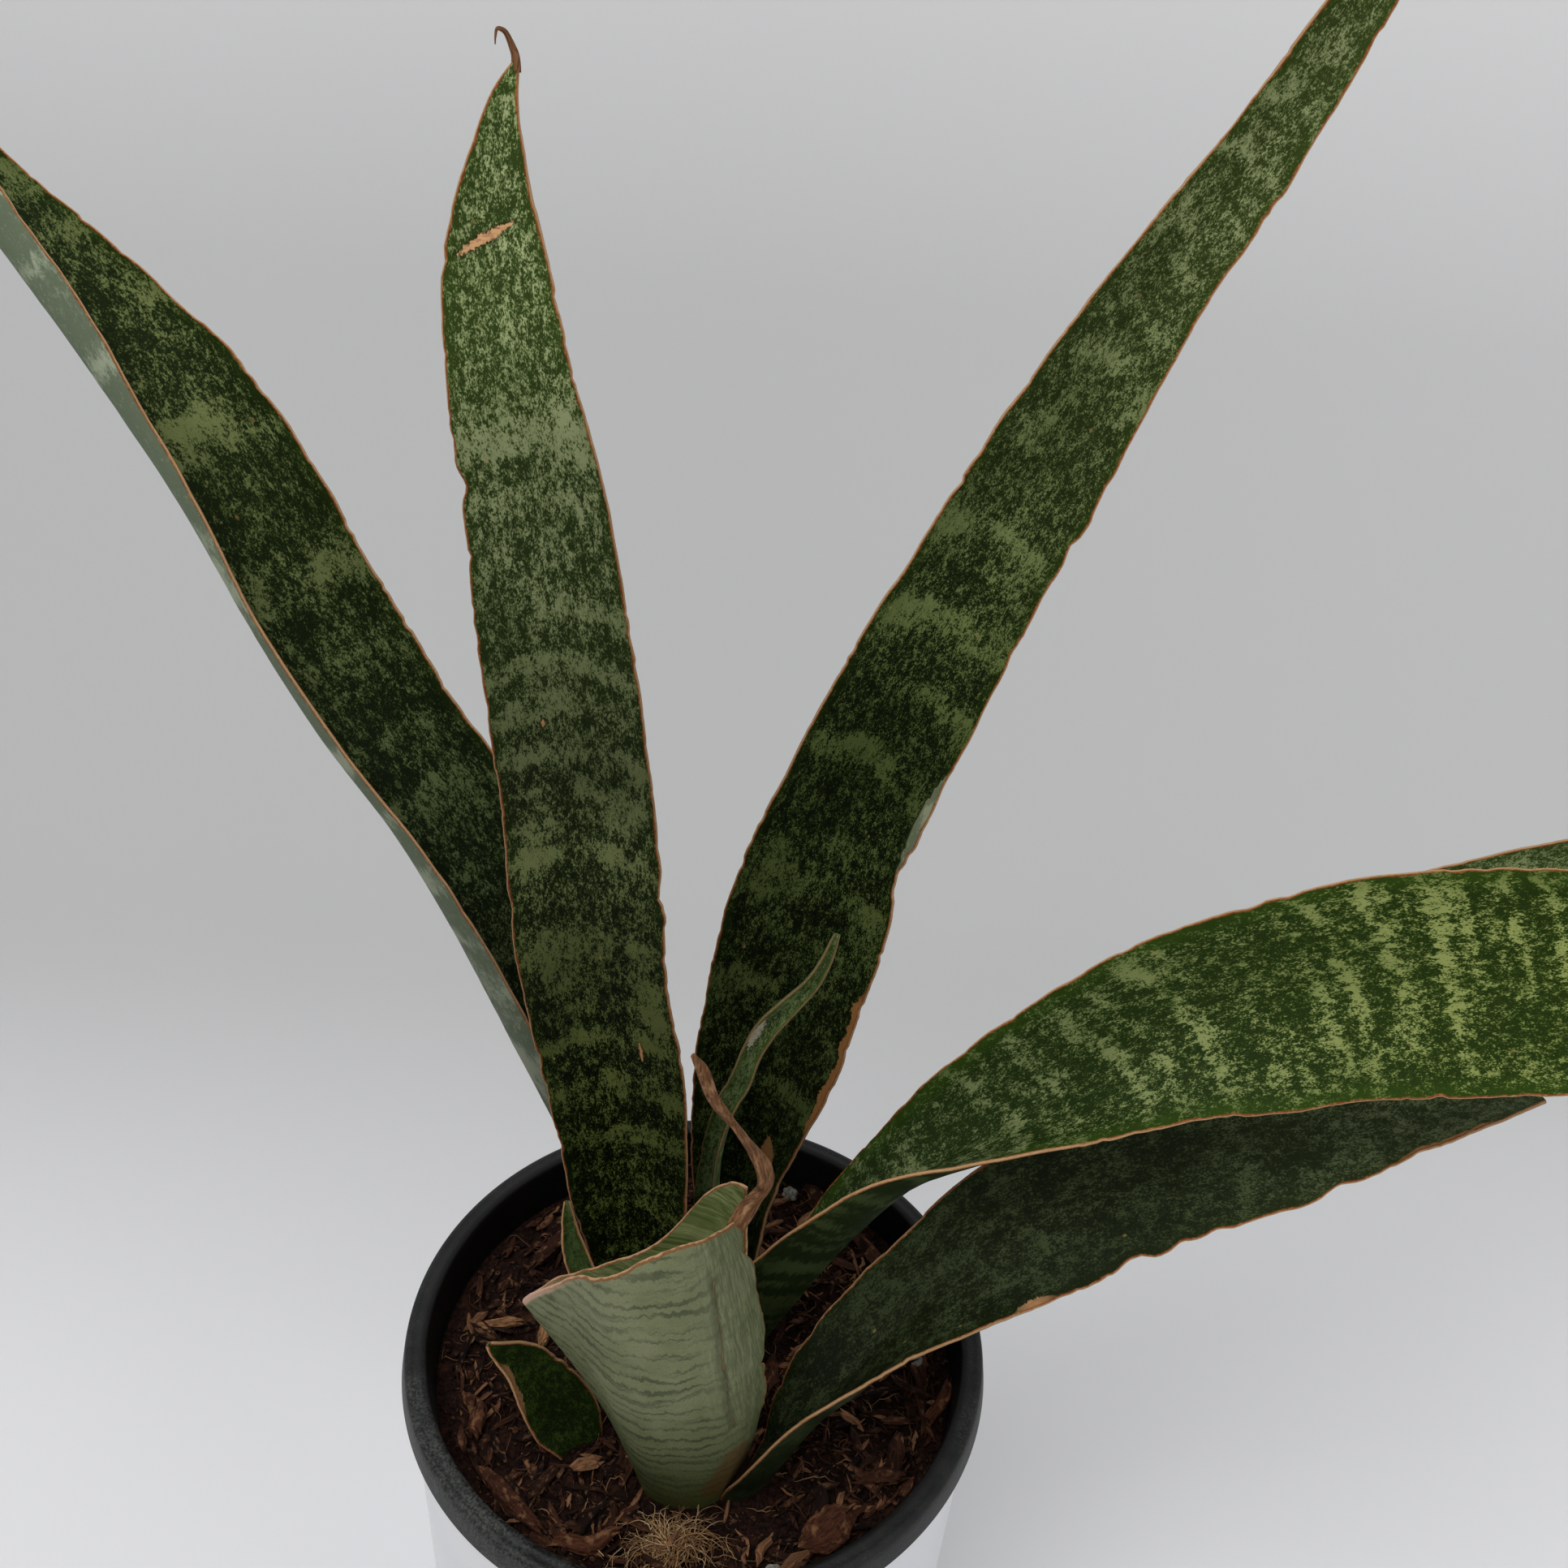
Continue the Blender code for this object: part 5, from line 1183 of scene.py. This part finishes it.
def scatter_mix():
    rng = np.random.default_rng(7)
    bases = base_points()[:, :2]
    named = np.array([(c[0], c[1], 0.5 * c[3]) for c in BARK_CHIPS.values()])

    def spot(limit, clear, near=None):
        for _ in range(40):
            r, a = limit * math.sqrt(rng.random()), rng.random() * 2 * math.pi
            x, y = r * math.cos(a), r * math.sin(a)
            if np.min(np.hypot(bases[:, 0] - x, bases[:, 1] - y)) > clear:
                return x, y
        return None

    pile = Pile()
    for k in range(1500):
        length = float(np.clip(rng.lognormal(1.68, 0.5), 2.0, 17))
        width = float(np.clip(length * (rng.uniform(0.07, 0.22) if k % 3 else rng.uniform(0.2, 0.42)), 0.45, 4.0))
        height = float(np.clip(width * rng.uniform(0.25, 0.7), 0.4, 1.8))
        place = spot(69.0 - 0.35 * length, 0.8 + 0.25 * length)
        if place is None:
            continue
        x, y = place
        heading = rng.random() * math.pi * 2
        if math.hypot(x, y) > 60:
            heading = math.atan2(y, x) + math.pi / 2 + rng.normal(0, 0.35)
        tilt = rng.normal(0, 0.16) if rng.random() < 0.8 else rng.normal(0, 0.45)
        v, f, a, l = chip_arrays(length, width, height, 1000 + k, 5, 6, 0.22, 0.9)
        z = soil_top(x, y)[0] + rng.uniform(-0.5, 1.5) + abs(math.sin(tilt)) * length * 0.22
        v = turn(v, heading, tilt, rng.normal(0, 0.5), (x, y, z))
        r = np.hypot(v[:, 0], v[:, 1])
        v[:, :2] *= np.minimum(1, (nursery_inner(134) - 0.8) / np.maximum(r, 1e-6))[:, None]
        # painted light: bark bits are made lighter at the front and at the back right, where more light reaches the mix
        lift = 0.25 * math.exp(-((x + 12) / 30) ** 2 - ((y + 52) / 18) ** 2) + 0.45 * math.exp(-((x - 26) / 26) ** 2 - ((y - 34) / 28) ** 2)
        pile.put(v, f, across=a, along=l, hue=min(1.0, rng.random() ** 1.1 + lift))
    for k in range(1500):
        place = spot(69.5, 0.6)
        if place is None:
            continue
        s = float(np.clip(rng.lognormal(-0.35, 0.45), 0.3, 1.9))
        v, f = ball_arrays((s, s * rng.uniform(0.6, 1), s * rng.uniform(0.5, 0.9)), 3000 + k, 1, 0.5)
        z = soil_top(*place)[0] + 0.3 * s
        v = turn(v, rng.random() * 6.28, rng.normal(0, 0.5), 0, (*place, z))
        pile.put(v, f, across=v[:, 0] * 0.8, along=v[:, 1] * 3, hue=rng.random() * 0.8)
    pile.make("potting_mix_bark", bark_material("bark_bits", "#160b08", "#4a2c1e", "#94694a", 0.13), "bark", "potting_mix")

    hair = Pile()
    for k in range(650):
        length = float(np.clip(rng.lognormal(2.0, 0.45), 3, 19))
        place = spot(66.0 - 0.3 * length, 1.2)
        if place is None:
            continue
        hair.put(*fibre(rng, place, length, rng.uniform(0.10, 0.22), rng.uniform(0.2, 2.2)), hue=rng.random())
    hair.make("potting_mix_fibres", bark_material("mix_fibre", "#2c180e", "#5a3a26", "#8f6c4c", 0.3), "bark", "potting_mix", smooth=True)


def fibre(rng, place, length, radius, high, sides=4, curl=1.0):
    x, y = place
    n = 9
    heading = rng.random() * 2 * math.pi
    pts, p = [], np.array([x, y], float)
    bend = rng.normal(0, 0.22 * curl)
    for k in range(n):
        t = k / (n - 1)
        z = soil_top(p[0], p[1])[0] + 0.25 + high * math.sin(math.pi * t) * (1 + 0.3 * rng.normal())
        pts.append((p[0], p[1], z, radius * (1 - 0.5 * abs(2 * t - 1))))
        heading += bend + rng.normal(0, 0.16 * curl)
        p = p + length / n * np.array([math.cos(heading), math.sin(heading)])
        r = np.hypot(*p)
        if r > 69.0:
            p *= 69.0 / r
    v, f, a, l = tube_arrays(pts, sides, 1.0)
    return v, f


BARK_CHIPS = {
    "bark_chip_left": (-55, 4, 6, 11, 3.2, 2.6, 4, 0.93),
    "bark_chip_upright": (-42, 3, 84, 10, 3.0, 3.2, 12, 0.95),
    "bark_chip_rim_front_left": (-42.5, -46.5, -42, 24, 3.4, 2.4, 3, 0.55),
    "bark_chip_front_right": (37, -49, 35, 13, 10.0, 3.4, 5, 0.62),
    "bark_chip_rim_right": (66, -12, 70, 17, 3.2, 2.6, 5, 0.80),
    "bark_chip_back_left": (-45, 33, 55, 15, 4.0, 2.8, 6, 0.40),
    "bark_chip_back_right": (34, 58, -35, 13, 5.0, 3.0, 5, 0.45),
    "bark_chip_right_fan": (38, 10, 30, 14, 4.0, 2.8, 8, 0.72),
    "bark_chip_front": (-22, -56, 15, 14, 4.5, 3.0, 4, 0.75),
    "bark_chip_low_left": (-56, -24, -60, 12, 4.2, 3.0, 5, 0.60),
    "bark_chip_rear": (-8, 55, 20, 12, 5.0, 3.2, 6, 0.35),
    "bark_chip_right_front": (50, -34, 5, 12, 4.0, 3.0, 6, 0.50),
}


def make_chips():
    mat = bark_material("bark_chip", "#2a150d", "#5a3423", "#a27650", 0.14)
    for k, (name, spec) in enumerate(BARK_CHIPS.items()):
        x, y, heading, length, width, height, tilt, hue = spec
        v, f, a, l = chip_arrays(length, width, height, 50 + k, 16, 18, 0.10, 0.9)
        v[:, 2] += 0.16 * fbm(np.stack([v[:, 0] / 2.4, v[:, 1] * 1.9], 1), 60 + k, 2) * height / 2.5
        b = math.radians(tilt)
        ring = [soil_height(x + dx, y + dy) for dx in (-7, 0, 7) for dy in (-7, 0, 7)]
        base = SOIL_TOP + max(ring) + 0.5 + 0.5 * length * math.sin(b)
        v = turn(v, math.radians(heading), b, 0.0, (x, y, base))
        obj = add_mesh(name + "_piece", v, f, {"across": a, "along": l, "hue": np.full(len(v), hue)}, mat, smooth=False)
        finish_piece(obj, "bark", name)


def make_grains():
    t = Tree("grain_stone")
    p = t.coords("Object")
    n = t.noise(p, 900.0, 4.0, 0.7)
    t.put(t.bsdf.inputs["Base Color"], t.mix(t.step(n, 0.3, 0.7), srgb("#4b483f"), srgb("#9a968c")))
    t.put(t.bsdf.inputs["Roughness"], t.mad(n, 0.3, 0.6))
    t.put(t.bsdf.inputs["Normal"], t.bump(n, 0.9, 0.0006))
    for k, (name, x, y, s) in enumerate((("perlite_grain_right", 61, 2, 2.2), ("perlite_grain_front", 24, -60, 1.9), ("gravel_grain_back", 24, 61, 2.4))):
        v, f = ball_arrays((s, s * 0.86, s * 0.8), 70 + k, 4, 0.35)
        z = soil_top(x, y)[0] + s * 0.7
        finish_piece(add_mesh(name + "_piece", v + np.array([x, y, z]), f, None, t.mat), "grain", name)


def make_coir():
    rng = np.random.default_rng(23)
    pile = Pile()
    for k in range(330):
        a = rng.random() * 2 * math.pi
        r = abs(rng.normal(0, 0.42))
        x, y = -1 + 13.0 * r * math.cos(a), -57.0 + 7.5 * r * math.sin(a)
        length = rng.uniform(5, 15)
        n = 10
        heading = rng.normal(math.pi / 2, 1.1) if rng.random() < 0.6 else rng.random() * 6.28
        rise = rng.uniform(0.2, 4.2) * (1 - 0.4 * r)
        p, pts = np.array([x, y]), []
        bend = rng.normal(0, 0.16)
        radius = rng.uniform(0.08, 0.17)
        for i in range(n):
            t = i / (n - 1)
            z = SOIL_TOP + 0.8 + soil_height(p[0], p[1]) + rise * math.sin(math.pi * min(1, 0.15 + 0.9 * t)) + 0.8 * rng.random()
            pts.append((p[0], p[1], z, radius * (1 - 0.6 * t)))
            heading += bend + rng.normal(0, 0.22)
            p = p + length / n * np.array([math.cos(heading), math.sin(heading)])
            d = math.hypot(*p)
            if d > 69.5:
                p *= 69.5 / d
        v, f, ac, l = tube_arrays(pts, 4)
        pile.put(v, f, across=ac, along=l, hue=rng.random())
    pile.make("coir_tuft_strands", bark_material("coir_strand", "#8a6440", "#b78e60", "#dab88c", 0.4, 0.35), "coir", "coir_tuft", smooth=True)


def make_rhizome():
    path = [(-31, -31), (-14, -35), (4, -36), (15, -30), (16, -8), (13, 10), (4, 26), (-10, 26), (-18, 20)]
    rows = [(x, y, 110.5 + 0.8 * math.sin(k * 1.7), 6.5 * (0.72 if k in (0, 8) else 1.0) * (1 + 0.06 * math.sin(k * 2.3))) for k, (x, y) in enumerate(path)]
    rows = catmull(rows, 1.0)
    at = np.arange(len(rows))
    rows[:, 3] *= 1 - 0.045 * (np.cos(at * 2 * math.pi / 9.0) > 0.86)
    v, f, a, l = tube_arrays(rows, 40, 1.0, 0, 0.02, 3, None, 0.04, 77)
    finish_piece(add_mesh("rhizome_stem", v, f, {"across": a, "along": l}, dry_material("rhizome_skin", "#7a5a30", "#b08c54", "#d0b688", 9.0)), "rhizome", "rhizome")


make_soil()
scatter_mix()
make_chips()
make_grains()
make_coir()
make_rhizome()


# ------------------------------------------------------------------ pots
def lathe(name, profile, material, steps=200, wobble=0.0):
    profile = np.array(profile, float)
    ang = np.linspace(0, 2 * math.pi, steps, endpoint=False)
    verts, rings = [], []
    for r, z in profile:
        if r < 1e-6:
            rings.append([len(verts)])
            verts.append((0, 0, z))
            continue
        w = r + (wobble * fbm(np.stack([np.cos(ang) * 2, np.sin(ang) * 2, np.full(steps, z / 40)], 1), 501, 2) if wobble else 0.0)
        w = w + np.zeros(steps)
        rings.append(list(range(len(verts), len(verts) + steps)))
        verts += np.stack([w * np.cos(ang), w * np.sin(ang), np.full(steps, z)], 1).tolist()
    faces = []
    for a, b in zip(rings, rings[1:]):
        for k in range(steps):
            n = (k + 1) % steps
            if len(a) == 1:
                faces.append((a[0], b[n], b[k]))
            elif len(b) == 1:
                faces.append((a[k], a[n], b[0]))
            else:
                faces.append((a[k], a[n], b[n], b[k]))
    return add_mesh(name, verts, faces, None, material)


def rounded(points, radius, steps=5):
    """The profile with each corner (r, z) of the list rounded by about the radius."""
    pts = [np.array(p, float) for p in points]
    out = [pts[0]]
    for a, b, c in zip(pts, pts[1:], pts[2:]):
        ab, cb = a - b, c - b
        la, lc = np.linalg.norm(ab), np.linalg.norm(cb)
        d = min(radius, 0.45 * la, 0.45 * lc)
        p, q = b + ab / la * d, b + cb / lc * d
        for k in range(steps + 1):
            t = k / steps
            out.append((1 - t) ** 2 * p + 2 * t * (1 - t) * b + t * t * q)
    out.append(pts[-1])
    return out


def nursery_material():
    t = Tree("nursery_plastic")
    p = t.coords("Object")
    fine = t.noise(p, 1400.0, 3.0, 0.7)
    mid = t.noise(p, 120.0, 4.0, 0.65)
    big = t.noise(p, 28.0, 3.0, 0.6)
    colour = t.mix(t.step(mid, 0.35, 0.65), srgb("#121413"), srgb("#1d201e"))
    scuff = t.mul(t.step(big, 0.45, 0.62), t.step(fine, 0.42, 0.66))
    colour = t.mix(t.mul(scuff, 0.5), colour, srgb("#464a45"))
    dust = t.mul(t.step(mid, 0.5, 0.72), t.step(fine, 0.5, 0.7))
    colour = t.mix(t.mul(dust, 0.35), colour, srgb("#5a4a3c"))
    sep = t.nt.nodes.new("ShaderNodeSeparateXYZ")
    t.put(sep.inputs[0], p)
    inside = t.m("SQRT", t.add(t.mul(sep.outputs[0], sep.outputs[0]), t.mul(sep.outputs[1], sep.outputs[1])))
    # painted shade: the inner wall and the inner half of the rim top are painted near black, where the pot's inside
    # lies in shade
    painted_deep_shade = t.step(inside, 0.0722, 0.0752, 1.0, 0.0)
    colour = t.mix(t.mul(painted_deep_shade, 0.85), colour, srgb("#060504"))
    # wear and painted highlight: paler speckles along the front left of the rim, the side the key lamp lights
    wear_and_painted_highlight = t.mul(t.step(t.add(sep.outputs[0], sep.outputs[1]), -0.104, -0.080, 1.0, 0.0), t.step(sep.outputs[2], 0.128, 0.134))
    wear_and_painted_highlight = t.mul(wear_and_painted_highlight, t.mul(t.step(fine, 0.38, 0.62), t.step(mid, 0.36, 0.6, 0.3, 1.0)))
    colour = t.mix(t.mul(wear_and_painted_highlight, 0.3), colour, srgb("#6c6e6a"))
    t.put(t.bsdf.inputs["Base Color"], colour)
    t.put(t.bsdf.inputs["Roughness"], t.mad(mid, 0.2, t.mad(scuff, 0.15, 0.38)))
    t.bsdf.inputs["Specular IOR Level"].default_value = 0.22
    t.put(t.bsdf.inputs["Normal"], t.bump(t.add(fine, t.mul(mid, 1.5)), 0.35, 0.0004))
    return t.mat


def cachepot_material():
    t = Tree("cachepot_white")
    p = t.coords("Object")
    big = t.noise(p, 14.0, 3.0, 0.5)
    fine = t.noise(p, 600.0, 3.0, 0.6)
    wave = t.noise(p, 90.0, 2.0, 0.5)
    colour = t.mix(t.step(big, 0.35, 0.65), srgb("#dfe1e4"), srgb("#e8e8e9"))
    pit = t.step(fine, 0.70, 0.78)
    colour = t.mix(t.mul(pit, 0.35), colour, srgb("#b7b4ad"))
    t.put(t.bsdf.inputs["Base Color"], colour)
    t.put(t.bsdf.inputs["Roughness"], t.mad(fine, 0.14, 0.26))
    t.put(t.bsdf.inputs["Normal"], t.bump(t.add(wave, t.mul(fine, 0.15)), 0.25, 0.0004))
    return t.mat


def make_pots():
    base, floor = 4.3, 6.1
    wall = np.linspace(9, 134, 22)
    outer = [(0, base), (25, base), (43, base), (nursery_outer(base) - 1.6, base), (nursery_outer(base) + 0.1, base + 1.8)]
    outer += [(nursery_outer(z), z) for z in wall]
    lip = rounded([(nursery_outer(134), 134), (nursery_outer(140), 140), (72.9, 143.6), (75.9, 143.5), (76.7, 142.4), (77.4, 137.5),
                   (78.6, 137.5), (77.75, 143.0), (77.3, 144.4), (76.1, 145.0), (75.1, 144.75), (74.4, 144.75), (73.3, 145.0), (71.95, 144.5),
                   (71.6, 143.4), (nursery_inner(134), 134)], 0.9, 4)
    inner = [(nursery_inner(z), z) for z in wall[::-1]] + [(nursery_inner(floor) - 1.0, floor), (43, floor), (25, floor), (0, floor)]
    pot = lathe("nursery_pot_shell", outer + lip[1:-1] + inner, nursery_material(), 220, 0.12)
    fix_normals(pot)
    for k in range(5):
        a = 2 * math.pi * (k + 0.5) / 5
        bpy.ops.mesh.primitive_cylinder_add(vertices=40, radius=4.5 * MM, depth=6 * MM,
                                            location=(34 * MM * math.cos(a), 34 * MM * math.sin(a), (base + 0.8) * MM))
        hole = bpy.context.object
        mod = pot.modifiers.new("hole", "BOOLEAN")
        mod.operation, mod.solver, mod.object = "DIFFERENCE", "MANIFOLD", hole
        bpy.context.view_layer.update()
        mesh = bpy.data.meshes.new_from_object(pot.evaluated_get(bpy.context.evaluated_depsgraph_get()))
        pot.modifiers.clear()
        pot.data = mesh
        bpy.data.objects.remove(hole)
    pot.data.shade_smooth()
    edge = pot.modifiers.new("creases", "EDGE_SPLIT")
    edge.split_angle = math.radians(50)
    finish_piece(pot, "nursery_pot", "nursery_pot")

    def side(z):
        return 73.5 + (76.2 - 73.5) / 143.2 * z

    profile = [(0, 0.0), (60, 0.0)] + rounded([(66, 0.0), (side(0) - 0.4, 0.0), (side(5), 5)], 2.4, 6)
    profile += [(side(z), z) for z in np.linspace(9, 138, 26)]
    profile += rounded([(side(139), 139), (side(143.2), 143.2), (side(143.2) - 3.4, 143.2), (side(139) - 3.4, 139)], 1.7, 8)
    profile += [(side(z) - 3.4, z) for z in np.linspace(138, 10, 20)] + rounded([(side(9) - 3.4, 9), (side(4) - 3.4, 4.0), (60, 4.0)], 3.0, 6) + [(0, 4.0)]
    outer_pot = lathe("cachepot_shell", profile, cachepot_material(), 240, 0.08)
    fix_normals(outer_pot)
    finish_piece(outer_pot, "cachepot", "cachepot")


make_pots()

# ------------------------------------------------------------------ floor and light
def add_stage():
    t = Tree("paper_sweep")
    p = t.coords("Object")
    sep = t.nt.nodes.new("ShaderNodeSeparateXYZ")
    t.put(sep.inputs[0], p)
    n = t.noise(p, 3.0, 2.0, 0.5)
    grain = t.noise(p, 260.0, 2.0, 0.5)
    # painted light and shade on the sweep: darker on the curve at the back, lighter high up, near the front and to the
    # right, as the lamps light it
    far = t.step(sep.outputs[1], 0.02, 0.36)
    high = t.step(sep.outputs[2], 0.02, 0.75)
    side = t.step(sep.outputs[0], -0.1, 0.6)
    near = t.mix(side, (0.80, 0.80, 0.815), (0.89, 0.89, 0.905))
    colour = t.mix(far, near, t.mix(side, (0.54, 0.54, 0.54), (0.60, 0.60, 0.60)))
    colour = t.mix(high, colour, t.mix(side, (0.82, 0.82, 0.82), (0.90, 0.90, 0.90)))
    colour = t.mix(t.mul(n, 0.06), colour, (0.4, 0.4, 0.41))
    t.put(t.bsdf.inputs["Base Color"], colour)
    t.bsdf.inputs["Roughness"].default_value = 0.9
    t.bsdf.inputs["Specular IOR Level"].default_value = 0.15
    t.put(t.bsdf.inputs["Normal"], t.bump(grain, 0.15, 0.0003))
    profile = [(-3.0, 0.0), (0.30, 0.0)]
    r, y0 = 0.30, 0.30
    for k in range(1, 17):
        a = math.radians(84) * k / 16
        profile.append((y0 + r * math.sin(a), r * (1 - math.cos(a))))
    y1, z1 = profile[-1]
    profile.append((y1 + 0.25, z1 + 2.4))
    xs = [-4.0, -2.0, 0.0, 2.0, 4.0]
    verts = [(x * 1000, y * 1000, z * 1000) for y, z in profile for x in xs]
    quads = []
    for i in range(len(profile) - 1):
        for j in range(len(xs) - 1):
            a = i * len(xs) + j
            quads.append((a, a + 1, a + 1 + len(xs), a + len(xs)))
    floor = add_mesh("paper_sweep", verts, quads, None, t.mat)
    return floor


def area_light(name, at, to, size, power, colour=(1, 1, 1)):
    data = bpy.data.lights.new(name, "AREA")
    data.shape, data.size, data.energy, data.color = "DISK", size, power, colour
    obj = bpy.data.objects.new(name, data)
    SCENE.collection.objects.link(obj)
    obj.location = at
    obj.rotation_euler = (Vector(to) - Vector(at)).to_track_quat("-Z", "Y").to_euler()
    return obj


def add_lights():
    area_light("key_soft", (-0.5, -0.5, 1.9), (0, 0.05, 0.2), 1.3, 18)
    area_light("fill_right", (1.6, -0.9, 1.3), (0.1, 0.05, 0.15), 1.2, 6)
    world = bpy.data.worlds.new("studio")
    SCENE.world = world
    world.use_nodes = True
    bg = world.node_tree.nodes.get("Background") or world.node_tree.nodes.new("ShaderNodeBackground")
    bg.inputs["Color"].default_value = (0.98, 0.99, 1.0, 1)
    bg.inputs["Strength"].default_value = 0.43


add_stage()
add_lights()
